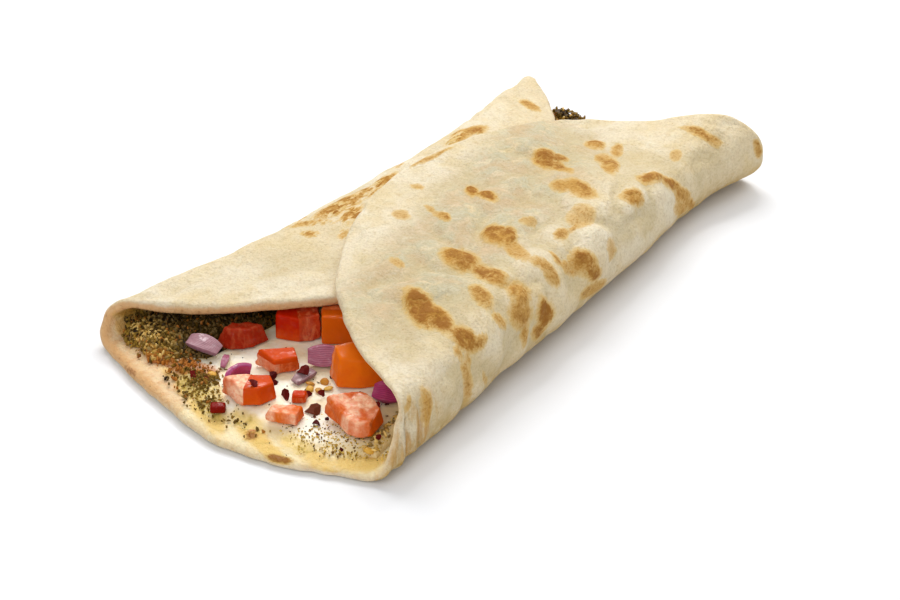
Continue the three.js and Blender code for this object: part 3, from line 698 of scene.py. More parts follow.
def tomato_finish():
    finish = Finish("cut_tomato")
    ripe = finish.painted("ripe")
    broad = finish.noise(5, 3)
    fine = finish.noise(1.3, 4, 0.6)
    fibres = finish.noise(1.8, 3, 0.6, 0.5, (1, 1, 0.28)).step(0.48, 0.66)
    under = (finish.painted("under") + (broad - 0.5) * 0.8).step(0.3, 1.0)
    overripe = (ripe - 1).most(0) * 1.9
    flesh = finish.cover(
        tone(236, 124, 34),
        (ripe, tone(176, 40, 8)),
        (broad.step(0.4, 0.7) * 0.6, tone(206, 84, 40)),
        (fine.step(0.5, 0.75) * 0.25, tone(222, 128, 84)),
        (fibres * 0.45, tone(234, 136, 84)),
        (finish.painted("pulp"), finish.mix(fine.step(0.35, 0.65), tone(236, 158, 124), tone(248, 206, 170))),
        (overripe, tone(140, 30, 12)),
    )
    peel = finish.cover(
        tone(238, 118, 16),
        (ripe, tone(178, 8, 0)),
        (under * 0.45, tone(228, 104, 28)),
        (broad.step(0.45, 0.75) * 0.3, tone(216, 84, 16)),
        (overripe, tone(120, 14, 2)),
    )
    rough_edge = (finish.painted("skin") + (fine - 0.5) * 0.25).step(0.42, 0.58)
    return finish.surface(
        Base_Color=finish.mix(rough_edge, flesh, peel),
        Roughness=0.34 - rough_edge * 0.08 + fine * 0.1,
        Specular_IOR_Level=0.05,
        Subsurface_Weight=0.1,
        Subsurface_Radius=(0.8, 0.25, 0.12),
        Subsurface_Scale=0.002,
        Coat_Weight=finish.noise(2.2, 4, 0.65, 0.5).step(0.53, 0.62) * 0.5,
        Coat_Roughness=0.08,
        Normal=finish.bump(broad * 0.5 + fine * 0.5, 0.5, 0.5),
    )


def onion_finish():
    finish = Finish("red_onion")
    fine = finish.noise(1.6, 3, 0.6)
    lines = finish.maths("SINE", finish.painted("stripe") * 60 + fine * 5) * 0.5 + 0.5
    inner = finish.mix(lines * 0.5, tone(176, 152, 150), tone(104, 70, 84))
    outer = finish.mix(lines * 0.5, tone(186, 60, 118), tone(132, 26, 76))
    base = finish.cover(
        inner,
        ((finish.painted("depth") + (fine - 0.5) * 0.3).step(0.3, 0.75), outer),
        (finish.painted("pale"), inner),
        (finish.painted("cut") * 0.6, tone(112, 48, 88)),
    )
    return finish.surface(
        Base_Color=base,
        Roughness=0.34,
        Specular_IOR_Level=0.2,
        Subsurface_Weight=0.1,
        Subsurface_Radius=(0.8, 0.4, 0.6),
        Subsurface_Scale=0.002,
        Coat_Weight=finish.noise(2.2, 4, 0.65, 0.5).step(0.48, 0.6) * 0.9,
        Coat_Roughness=0.08,
        Normal=finish.bump(lines * 0.6 + fine * 0.4, 0.18, 0.5),
    )


# Bread

# Columns stand closer where the dough turns: of all columns, and of the way to the edge
COLUMNS_PAST = (0, 0.2, 0.75, 1)
COLUMNS_REACH = (0, 0.3, 0.72, 1)


def disc_place(x, y):
    """From a square of side 2 to an angle and a share of the way to the round's edge."""
    s = np.sign(x) * np.interp(np.abs(x), COLUMNS_PAST, COLUMNS_REACH)
    across = s * np.sqrt(1 - y**2 / 2)
    lengthwise = y * np.sqrt(1 - s**2 / 2)
    return np.arctan2(lengthwise, across), np.hypot(across, lengthwise)


def make_bread():
    mesh = slab(*BREAD_GRID)
    x, y, z = points_of(mesh).T
    angle, share = disc_place(x, y)
    inset = RIM_ROUND * (1 - np.sin(math.pi * z))
    reach = share * (round_reach(angle) - inset)
    u, v = reach * np.cos(angle), reach * np.sin(angle)
    inwards = thickness_at(u, v) / 2 * (1 - np.cos(math.pi * z))
    edge = round_reach(angle) - reach

    _, radius, flat = fold_at(u, v)
    on_base = smooth((flat + 3 - np.abs(u)) / 6)
    outside = smooth((0.5 - z) * 4)
    inside = smooth((z - 0.5) * 4)
    spots, char = spots_at(u, v, TOAST_SPOTS, 0.45, 1.12)
    inner_spots, inner_char = spots_at(u, v, INNER_SPOTS, 0.45)
    oil, oil_strength = spots_at(u, v, OIL_SPOTS, 0.6)

    lumps = Lumps(5)
    puffed = 0.3 + 0.7 * window(u, 50, 25, 150, 30) * smooth((v + 95) / 30)
    pillows = np.abs(lumps.layered(u, v, PILLOWS))
    relief = lumps.layered(u, v, DOUGH_LUMPS) * (0.5 + 0.5 * puffed)
    relief = relief + (PILLOW_RISE * np.minimum(pillows, 0.8) - 1.0) * puffed
    ring = spots_at(u, v, TOAST_SPOTS, 0.9, 1.2)[0]
    blister = 1.2 * smooth(spots * char) - 0.7 * smooth(ring * char * 1.5)
    wander = 1.2 * lumps.at(u / 9, v / 9)
    creases = 0.7 * np.sin(v / 1.1 + wander) + 0.4 * np.sin(v / 0.6 + 2 * wander)
    creases = creases * window(u, 60, 8, 100, 16) * smooth((-v - 86) / 16)
    rim_fade = smooth(edge / 3)
    outward = (relief + blister - 0.2 + creases) * (1 - on_base) * outside
    inward = (relief * 0.3 + creases * 0.4 - 0.2) * inside
    inwards = inwards - outward * (0.4 + 0.6 * rim_fade) + inward * rim_fade

    uneven_rim = 0.5 * lumps.at(angle * 30 + 3, z * 0) * smooth((6 - edge) / 6)
    u, v = u * (1 + uneven_rim / 150), v * (1 + uneven_rim / 150)
    move_points(mesh, in_frame(sheet_point(u, v, inwards)))

    front_left = smooth((-v - 60) / 30) * smooth((-u - 20) / 30)
    turned = np.clip((np.abs(u) - flat) / radius, 0, 3)
    paint(
        mesh,
        toast=np.where(z < 0.5, spots * outside, inner_spots * inside),
        char=np.where(z < 0.5, char, inner_char),
        # the inner face, painted lighter: partly its own paler colour, partly painted light
        inner=inside,
        halo=ring * char * outside,
        wrinkled=smooth((-u - 55) / 10) * smooth((60 - v) / 20) * outside,
        oil=oil * oil_strength * smooth((z - 0.4) * 4),
        warm=0.22 * smooth((7 - edge) / 7) * front_left * smooth((0.9 - z) * 3),
        band=smooth((19 - edge) / 8) * smooth((-v - 60) / 30) * smooth((-u - 8) / 18) * inside,
        crisp=smooth((5.5 - edge) / 5) * smooth((z - 0.15) * 3) * (0.45 + 0.55 * smooth((-u - 10) / 40)),
        # painted shade in the dents of the relief
        dent=smooth(0.3 - relief * 0.55) * outside * (1 - spots) * smooth(edge / 14),
        streak=window(u, 62, 6, 92, 14) * smooth((-v - 84) / 12) * outside,
        chalk=window(u, 84, 26, 152, 18) * smooth((100 - np.abs(v)) / 40) * outside,
        low=smooth((17 - radius * (1 - np.cos(turned))) / 14) * smooth((np.abs(u) - flat) / 3) * outside,
    )
    return piece("folded_bread", mesh, bread_finish(), ["bread"])


# Spreads

def bed_height(u, v):
    flat = fold_at(u, v)[2]
    return thickness_at(u, v) + SPREAD_LIFT + FOLD_LIFT * smooth((np.abs(u) - flat + 8) / 10)


def crowded(share, amount):
    """Shares of a way, drawn closer at its two ends."""
    return blend(share, (1 - np.cos(math.pi * share)) / 2, amount)


def thinned(depth, distance):
    """A spread's depth, rounded down into the dough at its border."""
    return blend(-0.6, depth, np.sqrt(np.clip(distance / EDGE_RUN, 0, 1)))


def heap_edge(v):
    return -0.45 * fold_at(-np.ones_like(v), v)[2] - 15 * smooth((-104 - v) / 18)


def patch_edge(v):
    return fold_at(np.ones_like(v), v)[2] - 8


def settle(across, lengthwise, shares):
    """u and v that fit each other, where each border is uneven along the other way."""
    u = np.zeros_like(shares)
    v = np.zeros_like(shares)
    for _ in range(24):
        v = lengthwise(u)
        u = across(v)
    return u, v


def front_stop(u):
    corner = smooth((-u - 25) / 25)
    uneven = 1.6 * np.sin(u / 6.5) + 0.8 * np.sin(u / 2.9 + 1)
    return rim_station(u, -1) + BARE_RIM + (BARE_CORNER - BARE_RIM) * corner + uneven


def far_stop(u):
    return rim_station(u, 1) - BARE_RIM - 1.4 * np.sin(u / 7 + 2)


def cheese_place(s, t):
    across = lambda v: blend(heap_edge(v) - SPREAD_GAP, patch_edge(v) + SPREAD_GAP, s)
    return settle(across, lambda u: blend(front_stop(u) - CHEESE_SPILL, far_stop(u) + CHEESE_SPILL, t), s)


def cheese_depth(u, v):
    body = CHEESE_DEPTH + 0.35 * np.sin(u / 8 + 0.6) * np.sin(v / 10) + 0.15 * np.sin(u / 3.1 + v / 4.3)
    inside = np.minimum(v - front_stop(u) + CHEESE_SPILL, far_stop(u) + CHEESE_SPILL - v)
    return blend(-0.7, body, smooth(inside / 11))


def heap_wall_reach(v):
    _, radius, flat = fold_at(-np.ones_like(v), v)
    return -(flat + radius * 1.1 * smooth((v + 124) / 14) - 1)


def heap_front(u):
    return front_stop(u) - 1.5


def heap_back(u):
    return far_stop(u) - 2 + CORNER_RUN * smooth((-u - 22) / 12)


def heap_place(s, t):
    across = lambda v: blend(heap_wall_reach(v), heap_edge(v) - SPREAD_GAP / 2, s)
    return settle(across, lambda u: blend(heap_front(u), heap_back(u), t), s)


def heap_depth(u, v):
    flat = fold_at(-np.ones_like(u), v)[2]
    on_wall = smooth((-u - flat + 10) / 12)
    body = blend(HEAP_DEPTH, 1.9, on_wall)
    to_cheese = smooth((heap_edge(v) - u) / 14)
    uneven = 0.6 * np.sin(u / 3.3 + 1) * np.sin(v / 4.1) + 0.4 * np.sin(u / 1.9 - v / 5.3)
    depth = 1.2 + (body - 1.2) * to_cheese + uneven * to_cheese * (1 - 0.5 * on_wall)
    inside = np.minimum.reduce([
        u - heap_wall_reach(v), heap_edge(v) - u, v - heap_front(u), heap_back(u) - v,
    ])
    return thinned(depth, inside)


def patch_wall_reach(v):
    _, radius, flat = fold_at(np.ones_like(v), v)
    rounded = smooth((radius - 9.5) / 4)
    return flat + radius * 0.55 * rounded - 1.5 * (1 - rounded)


def patch_place(s, t):
    across = lambda v: blend(patch_edge(v) + SPREAD_GAP / 2, patch_wall_reach(v), s)
    return settle(across, lambda u: blend(front_stop(u) - 1, far_stop(u) - 3, t), s)


def patch_depth(u, v):
    body = PATCH_DEPTH + 0.5 * np.sin(u / 2.3) * np.sin(v / 3.7) + 0.3 * np.sin(v / 9)
    inside = np.minimum.reduce([
        u - patch_edge(v), patch_wall_reach(v) - u, v - front_stop(u) + 1, far_stop(u) - 3 - v,
    ])
    return thinned(body, inside)


def spread_top(u, v):
    depth = np.where(u < heap_edge(v), heap_depth(u, v), cheese_depth(u, v))
    depth = np.where(u > patch_edge(v), patch_depth(u, v), depth)
    return bed_height(u, v) + np.maximum(depth, 0)


def make_spread(grid, place, depth):
    """A spread on the dough; its edges and underside are pressed into the dough."""
    mesh = slab(*grid)
    x, y, z = points_of(mesh).T
    u, v = place(crowded((x + 1) / 2, 0.4), crowded((y + 1) / 2, 1.0))
    top = bed_height(u, v) + depth(u, v)
    under = bed_height(u, v) - 1.2
    points = in_frame(sheet_point(u, v, np.where(z > 0.5, top, under)))
    move_points(mesh, points)
    face_outwards(mesh)
    return mesh, u, v


def make_cheese():
    lumps = Lumps(11)
    mesh, u, v = make_spread(
        CHEESE_GRID, cheese_place, lambda u, v: cheese_depth(u, v) + lumps.layered(u, v, CHEESE_LUMPS))
    oil, strength = spots_at(u, v, OIL_SPOTS, 0.6)
    spots, char = spots_at(u, v, INNER_SPOTS, 0.45)
    beside_patch = 0.8 * smooth((9 - (patch_edge(v) - u)) / 9)
    paint(
        mesh,
        oil=np.maximum(oil * strength, 0.8 * smooth((heap_edge(v) + 5 - u) / 9)),
        toast=spots * char,
        thin=np.maximum(smooth((9 - (v - front_stop(u))) / 9), beside_patch),
        burnt=spots_at(u, v, CRUST_SPOTS, 0.8, 1.3)[0],
    )
    return piece("cheese_spread", mesh, cheese_finish(), ["cheese"])


def shade_under_left_flap(u, v):
    """Where the left flap hangs over the heap: the herbs there get painted shade."""
    return smooth((v + 112 + 0.35 * (u + 60)) / 16) * smooth((60 - v) / 20) * smooth((-16 - u) / 8)


def make_heap(bed):
    lumps = Lumps(23)

    def depth(u, v):
        return heap_depth(u, v) + lumps.layered(u, v, HEAP_LUMPS) * smooth((heap_edge(v) - u) / 3)

    mesh, u, v = make_spread(HEAP_GRID, heap_place, depth)
    to_end = np.minimum(v - heap_front(u), heap_back(u) - v)
    paint(
        mesh,
        burnt=spots_at(u, v, CRUST_SPOTS, 0.7)[0],
        # painted shade on the heap under the left flap
        deep=shade_under_left_flap(u, v),
        cream=0,
        thin=smooth((6 - to_end) / 5),
    )
    return piece("herb_heap", mesh, bed, ["zaatar_left"])


def make_patch(bed):
    lumps = Lumps(31)
    mesh, _, _ = make_spread(
        PATCH_GRID, patch_place, lambda u, v: patch_depth(u, v) + lumps.layered(u, v, PATCH_LUMPS))
    paint(mesh, burnt=0, deep=0, cream=1, thin=1)
    return piece("herb_patch", mesh, bed, ["zaatar_right"])


# Scattered bits

def bead(subdivisions, form, roughness, seed):
    """A small lump to scatter: a ball drawn out to a form and made uneven."""
    bm = bmesh.new()
    bmesh.ops.create_icosphere(bm, subdivisions=subdivisions, radius=1)
    rng = np.random.default_rng(seed)
    for vert in bm.verts:
        vert.co *= 1 + roughness * rng.uniform(-1, 1)
    bmesh.ops.scale(bm, verts=bm.verts, vec=form)
    return bm


def chip(seed):
    """A torn flake: a small bent sheet with a ragged outline."""
    bm = bmesh.new()
    bmesh.ops.create_circle(bm, cap_ends=True, segments=9, radius=1)
    rng = np.random.default_rng(seed)
    for vert in bm.verts:
        vert.co *= rng.uniform(0.65, 1.15)
    grown = bmesh.ops.extrude_face_region(bm, geom=bm.faces[:])
    lifted = [part for part in grown["geom"] if isinstance(part, bmesh.types.BMVert)]
    bmesh.ops.translate(bm, verts=lifted, vec=(0, 0, 0.14))
    bmesh.ops.poke(bm, faces=[face for face in bm.faces if len(face.verts) > 4])
    for vert in bm.verts:
        vert.co.z += 0.45 * math.sin(2.1 * vert.co.x + 0.9 * seed) + 0.3 * vert.co.x * vert.co.y
    bmesh.ops.recalc_face_normals(bm, faces=bm.faces)
    return bm


def template(bm):
    bmesh.ops.triangulate(bm, faces=bm.faces)
    corners = np.array([vert.co[:] for vert in bm.verts])
    faces = np.array([[vert.index for vert in face.verts] for face in bm.faces])
    bm.free()
    return corners, faces


def scatter(name, forms, places, turns, sizes, finish, shades, odds, smooth_shade=False):
    """Copies of a few small forms, joined in one piece. Places are in millimetres on the fold."""
    all_points, all_faces = [], []
    start = 0
    for k, (place, turn, size) in enumerate(zip(places, turns, sizes)):
        corners, faces = forms[k % len(forms)]
        spin = np.array(Euler(turn).to_matrix())
        all_points.append((corners * size) @ spin.T + place)
        all_faces.append(faces + start)
        start += len(corners)
    counts = [len(points) for points in all_points]
    mesh = bpy.data.meshes.new(name)
    points = in_frame(np.concatenate(all_points))
    mesh.from_pydata(points.tolist(), [], np.concatenate(all_faces).tolist())
    paint(mesh, shade=np.repeat(shades, counts), odd=np.repeat(odds, counts))
    return piece(name, mesh, finish, smooth_shade=smooth_shade)


def on_spread(u, v, lift):
    return sheet_point(u, v, spread_top(u, v) + lift)


def free_turns(rng, count):
    return rng.uniform(0, 2 * math.pi, (count, 3))


def flat_turns(rng, count, tilt):
    tilts = rng.normal(0, tilt, count), rng.normal(0, tilt, count)
    return np.stack([*tilts, rng.uniform(0, 2 * math.pi, count)], axis=1)


def joined(*places):
    """Rows of u and v, one after the other."""
    return (np.concatenate(rows) for rows in zip(*places))


def make_herb_bits():
    rng = np.random.default_rng(41)
    forms = [template(bead(1, (1, 0.6, 0.4), 0.25, k)) for k in range(6)]
    count = HERBS_FRONT + HERBS_FAR
    share = rng.uniform(0.0, 1.0, count)
    front = rng.uniform(0.004, 0.29, count) ** 1.15
    run = np.where(np.arange(count) < HERBS_FRONT, front, 1 - rng.uniform(0.004, 0.14, count))
    u, v = heap_place(blend(0.02, 0.99, share), run)
    keep = rng.uniform(0, 1, count) < smooth((heap_edge(v) - u) / 5) * 0.9 + 0.1
    patch = patch_place(rng.uniform(0.02, 0.95, HERBS_PATCH), 1 - rng.uniform(0.004, 0.1, HERBS_PATCH))
    loose = [rng.normal((x, y), (wide, deep), (number, 2)) for x, y, wide, deep, number in LOOSE_HERBS]
    loose_u, loose_v = np.concatenate(loose).T
    past_far = np.where(loose_u < -25, 7, 4)
    kept = (loose_v > front_stop(loose_u) - 5) & (loose_v < far_stop(loose_u) + past_far)
    u, v = joined((u[keep], v[keep]), patch, (loose_u[kept], loose_v[kept]))
    total = len(u)
    places = on_spread(u, v, rng.uniform(0.0, 0.6, total) * (u < 20))
    sizes = rng.uniform(0.5, 1.0, total) ** 2 * 1.4 + 0.12
    sizes[u > -30] *= 0.75
    clumps = Lumps(45).layered(u, v, HERB_CLUMPS)
    # bits under the left flap are painted darker: painted shade
    shades = np.clip(rng.uniform(0, 1, total) ** 1.3 + 0.5 * clumps, 0, 1) * (1 - 0.85 * shade_under_left_flap(u, v))
    shades[u > -30] = 0.3 + 0.6 * shades[u > -30]
    shades[u > 20] = 1
    crust = spots_at(u, v, CRUST_SPOTS, 0.5, 1.1)[0]
    few = (rng.uniform(0, 1, total) < 0.1) * 0.7
    odds = np.maximum(few, 0.9 * crust * (rng.uniform(0, 1, total) < 0.75))
    finish = grain_finish("dried_herb", tone(40, 25, 7), tone(166, 130, 50), tone(186, 114, 46), 0.4, 0.08)
    scatter("herb_bits", forms, places, free_turns(rng, total), sizes, finish, shades, odds)


def make_sesame():
    rng = np.random.default_rng(43)
    forms = [template(bead(2, (1.5, 0.95, 0.55), 0.05, 60 + k)) for k in range(3)]
    front = heap_place(rng.uniform(0.05, 0.98, SESAME_FRONT), rng.uniform(0.002, 0.24, SESAME_FRONT) ** 1.15)
    patch = patch_place(rng.uniform(0.05, 0.9, SESAME_PATCH), rng.uniform(0.004, 0.14, SESAME_PATCH))
    far = heap_place(rng.uniform(0.1, 0.95, SESAME_FAR), 1 - rng.uniform(0.004, 0.12, SESAME_FAR))
    u, v = joined(front, patch, far)
    total = len(u)
    places = on_spread(u, v, rng.uniform(0.2, 0.7, total))
    turns = free_turns(rng, total)
    sizes = rng.uniform(0.6, 0.9, total)
    shades = rng.uniform(0, 1, total)
    # seeds under the left flap take the dark odd colour as painted shade; others take it at random
    odds = np.maximum(shade_under_left_flap(u, v) * 0.85, (rng.uniform(0, 1, total) < 0.3) * 0.6)
    finish = grain_finish("sesame", tone(192, 148, 66), tone(236, 202, 124), tone(60, 38, 14), 0.35, 0.15)
    scatter("sesame_seeds", forms, places, turns, sizes, finish, shades, odds, smooth_shade=True)


def scatter_specks(name, rng, forms, places, sizes, finish, odd_share):
    total = len(places)
    turns = free_turns(rng, total)
    sizes = rng.uniform(*sizes, total)
    shades = rng.uniform(0, 1, total)
    odds = (rng.uniform(0, 1, total) < odd_share) * 1.0
    scatter(name, forms, places, turns, sizes, finish, shades, odds)


def make_specks():
    rng = np.random.default_rng(47)
    forms = [template(bead(1, (1, 0.7, 0.45), 0.25, 80 + k)) for k in range(4)]
    u = np.concatenate([rng.normal(34, 9, 40), rng.normal(44, 7, 20), rng.uniform(-26, 52, 70)])
    v = np.concatenate([rng.normal(-118, 6, 40), rng.normal(-112, 6, 20), rng.uniform(-133, -88, 70)])
    keep = v > front_stop(u) - 4
    finish = grain_finish("pepper_specks", tone(48, 34, 22), tone(96, 76, 36), tone(120, 58, 30), 0.6)
    scatter_specks("pepper_specks", rng, forms, on_spread(u[keep], v[keep], 0.05), (0.22, 0.5), finish, 0.15)
    patch = patch_place(rng.uniform(0.02, 0.95, 150), rng.uniform(0.003, 0.16, 150))
    front, far = rng.normal((40, -115), (10, 5), (420, 2)), rng.normal((26, 108), (11, 6), (260, 2))
    u, v = joined(front.T, far.T, patch)
    keep = (v > front_stop(u) - 3) & (v < far_stop(u) + 2)
    finish = grain_finish("herb_dust", tone(164, 128, 38), tone(226, 190, 96), tone(120, 84, 30), 0.5)
    scatter_specks("herb_dust", rng, forms, on_spread(u[keep], v[keep], 0.05), (0.25, 0.7), finish, 0.2)


# Tomato

# Corners of each cut, in a frame turned to the open front; the skin side is a half space:
# x, y, z and the distance along it at which the skin starts
TOMATOES = [
    dict(at=(-24.6, -92.2), height=7.5,
         corners=[(-9.8, -1), (-4.5, -4.4), (3.4, -3.8), (9.8, 1.4), (3.4, 4.6), (-5.6, 4.2)],
         taper=0.7, skin=(-0.2, -0.6, 0.8, 9.0), ripe=1.35, pulp=0.0),
    dict(at=(-11.4, -77.2), corners=[(-9, 0), (0, -2.8), (7.8, 0), (6.5, 7), (-7.8, 7)],
         height=10.7, taper=0.96, fall=0.1, skin=(-1, -0.2, 0, 0.6), ripe=0.95, pulp=0.1),
    dict(at=(1.6, -70.0), corners=[(-6.9, -1), (6.6, -1.6), (6.4, 7.4), (-6.4, 7)],
         height=12, taper=0.98, skin=(0, -1, 0, -4), ripe=0.35, pulp=0.1),
    dict(at=(-4.4, -96.2), corners=[(-8.6, 3.2), (-1.4, -4.4), (8.2, -1.6), (6.4, 4.6)],
         height=6.4, taper=0.86, fall=0.2, skin=(0, -0.1, 1, 4.4), ripe=0.7, pulp=0.5),
    dict(at=(22.0, -83.6), corners=[(-10.4, 4), (-7.4, -4.8), (1.6, -5.6), (9, -4), (11.2, 3), (2, 7)],
         height=11.2, taper=0.84, lean=(0, 2.2), fall=0.25, skin=(0.3, -1, 0.25, -3), ripe=0.1, pulp=0.45),
    dict(at=(0.2, -115.6), corners=[(-10.2, 3), (-2.4, -5.4), (4, -5.4), (9.6, -1), (7.8, 4.6), (-3, 4.8)],
         height=7, skin=(1, -0.25, 0, -0.6), ripe=0.7, pulp=1.0),
    dict(at=(18.2, -117.4), corners=[(-7, -0.2), (-2, -3.2), (4.6, -4.2), (7.2, 2.2), (3.5, 4), (-3.5, 3.8)],
         height=4.4, skin=(1, 0, 0, 5.2), ripe=0.4, pulp=0.9),
    dict(at=(38.4, -104.4), height=6.6, taper=0.86, fall=0.22, lift=1.1,
         corners=[(-10.8, 5.2), (-5.8, -2.4), (-1.4, -8.6), (2.4, -10.2), (6.4, -9.6), (10.6, -1), (8.4, 4.6),
                  (3.4, 8.2)],
         skin=(1, -0.2, -0.4, 6.0), ripe=0.5, pulp=0.85),
    dict(at=(14.4, -105.6), corners=[(-2.9, -2.2), (2.5, -2.5), (2.9, 2.1), (-2.5, 2.5)],
         height=3.4, skin=(0, 0, 1, 2.4), ripe=0.8, pulp=0.0),
    dict(at=(-4.0, -127.0), corners=[(-2.9, -2.2), (2.7, -2.1), (3.0, 2.1), (-3.0, 2.0)],
         height=2.8, skin=(0, 0, 1, -9), ripe=1.5, pulp=0.0),
    dict(at=(-16.5, 96.0), corners=[(-7, -5), (6.4, -6), (7, 4.6), (-5.6, 6)],
         height=9.6, skin=(0.4, 1, 0, 3), ripe=0.5, pulp=0.2),
    dict(at=(3.0, 103.5), corners=[(-6.4, -4.4), (5, -5.6), (7.4, 3.4), (-2, 6.2)],
         height=8.2, skin=(0, 0.2, 1, 6.4), ripe=0.3, pulp=0.3),
    dict(at=(-1.5, 86.5), corners=[(-6, -5.4), (6.4, -4.8), (5.8, 5.6), (-6.6, 4.4)],
         height=9, skin=(-1, 0, 0, 3), ripe=0.6, pulp=0.2),
]


def cut_block(spec):
    """The cut piece in its own plane, its edges eased."""
    corners = [Vector((x, y, 0)) for x, y in spec["corners"]]
    middle = sum(corners, Vector()) / len(corners)
    height, taper = spec["height"], spec.get("taper", 0.9)
    lean, fall = spec.get("lean", (0, 0)), spec.get("fall", 0)
    bm = bmesh.new()
    face = bm.faces.new([bm.verts.new(corner) for corner in corners])
    grown = bmesh.ops.extrude_face_region(bm, geom=[face])
    for vert in grown["geom"]:
        if isinstance(vert, bmesh.types.BMVert):
            arm = (vert.co - middle) * taper
            vert.co = middle + arm + Vector((lean[0], lean[1], 0))
            vert.co.z = height + fall * arm.y
    bmesh.ops.recalc_face_normals(bm, faces=bm.faces)
    bmesh.ops.bevel(
        bm, geom=bm.edges[:], offset=CUT_BEVEL, segments=3, profile=0.5, affect="EDGES", material=-1)
    mesh = bpy.data.meshes.new("cut")
    bm.to_mesh(mesh)
    bm.free()
    return mesh


def set_down(points, x, y, turns, lift):
    """Turns a piece's points and lays it on the spread, just clear of it."""
    spin = np.array(Euler(turns).to_matrix())
    placed = points @ spin.T + np.array([x, y, 0])
    ground = spread_top(placed[:, 0], placed[:, 1])
    placed[:, 2] += np.max(ground - placed[:, 2]) + CUT_GAP + lift
    return placed


def make_tomatoes():
    finish = tomato_finish()
    for number, spec in enumerate(TOMATOES, start=1):
        mesh = remeshed(cut_block(spec), TOMATO_VOXEL)
        points, normals = points_of(mesh), normals_of(mesh)
        x, y, z, start = spec["skin"]
        reach = points @ np.array([x, y, z]) / np.linalg.norm([x, y, z]) - start
        skin = smooth(reach / 1.2 + 0.5)
        lumps = Lumps(100 + number)
        flesh = lumps.layered(points[:, 0] + points[:, 2], points[:, 1] - 0.7 * points[:, 2], FLESH_LUMPS)
        under = 1 - np.clip(points[:, 2] / spec["height"], 0, 1)
        points = points + normals * (flesh * (1 - 0.8 * skin) - 0.1)[:, None]
        pulp = smooth(0.5 + lumps.layered(points[:, 0], points[:, 1], PULP_LUMPS))
        size = np.mean(np.hypot(*np.array(spec["corners"]).T))
        pulp = spec["pulp"] * pulp * smooth(1.9 - 1.2 * np.hypot(points[:, 0], points[:, 1]) / size)
        points = set_down(points, *spec["at"], (0, 0, VIEW_YAW), spec.get("lift", 0))
        move_points(mesh, in_frame(points))
        paint(mesh, skin=skin, under=under, ripe=spec["ripe"], pulp=pulp)
        piece(f"tomato_dice_{number}", mesh, finish, [f"tomato_{number}"])


# Onion

ONIONS = [
    dict(at=(-31.4, -105.6), radius=12, sweep=1.15, width=6.8, thickness=2.2, turns=(0.25, 0.1, 0.25),
         lift=0.6, pale=0.75),
    dict(at=(-13.6, -109.6), radius=9.5, sweep=1.5, width=5.6, thickness=1.9, turns=(1.3, 0, 4.63),
         pale=0.0, skin=1),
    dict(at=(6.8, -84.6), radius=40, sweep=0.29, width=8, thickness=3.4, turns=(1.1, 0, 0.7), pale=0.4),
    dict(at=(6.6, -94.6), radius=16, sweep=0.62, width=4.6, thickness=1.6, turns=(0.1, 0, 1.5), pale=0.9),
    dict(at=(37.4, -86.4), radius=8, sweep=1.3, width=8, thickness=2.4, turns=(0.5, 0.1, 0.5),
         pale=0.0, skin=1),
    dict(at=(-21.2, -105.2), radius=7, sweep=1.2, width=2.6, thickness=1.7, turns=(0.2, 0, 2.1), pale=0.4),
    dict(at=(18.5, 98.5), radius=11, sweep=1.1, width=7, thickness=2.2, turns=(0.2, 0.1, 0.9), pale=0.1),
    dict(at=(-26.0, 84.0), radius=10, sweep=1.1, width=6.4, thickness=2.1, turns=(0.2, 0.1, 2.2),
         lift=1, pale=0.2),
]


def make_onions():
    finish = onion_finish()
    for number, spec in enumerate(ONIONS, start=1):
        mesh = slab(*ONION_GRID)
        x, y, z = points_of(mesh).T
        side = np.sin(math.pi * z)
        round_in = 1 - 0.5 * (1 - side) / spec["width"]
        angle = spec["sweep"] * 0.5 * x * (1 - 0.4 * (1 - side) / (spec["radius"] * spec["sweep"]))
        ends = 1 - 0.35 * np.abs(x) ** 2
        lumps = Lumps(200 + number)
        depth = (1 - np.cos(math.pi * z)) / 2
        reach = spec["radius"] - spec["thickness"] * (1 - depth)
        reach = reach + lumps.layered(x * 8, y * 5, ONION_LUMPS)
        half = y * spec["width"] / 2 * ends * round_in
        points = np.stack([reach * np.sin(angle), half, reach * np.cos(angle) - spec["radius"]], axis=1)
        points = set_down(points, *spec["at"], spec["turns"], spec.get("lift", 0))
        move_points(mesh, in_frame(points))
        face_outwards(mesh)
        paint(
            mesh,
            depth=np.maximum(depth, spec.get("skin", 0)),
            stripe=(y + 1) / 2,
            cut=smooth(side * 1.4 - 0.2) * smooth(1.2 - z),
            pale=spec["pale"],
        )
        piece(f"onion_petal_{number}", mesh, finish, [f"onion_{number}"])


# Flakes and seeds

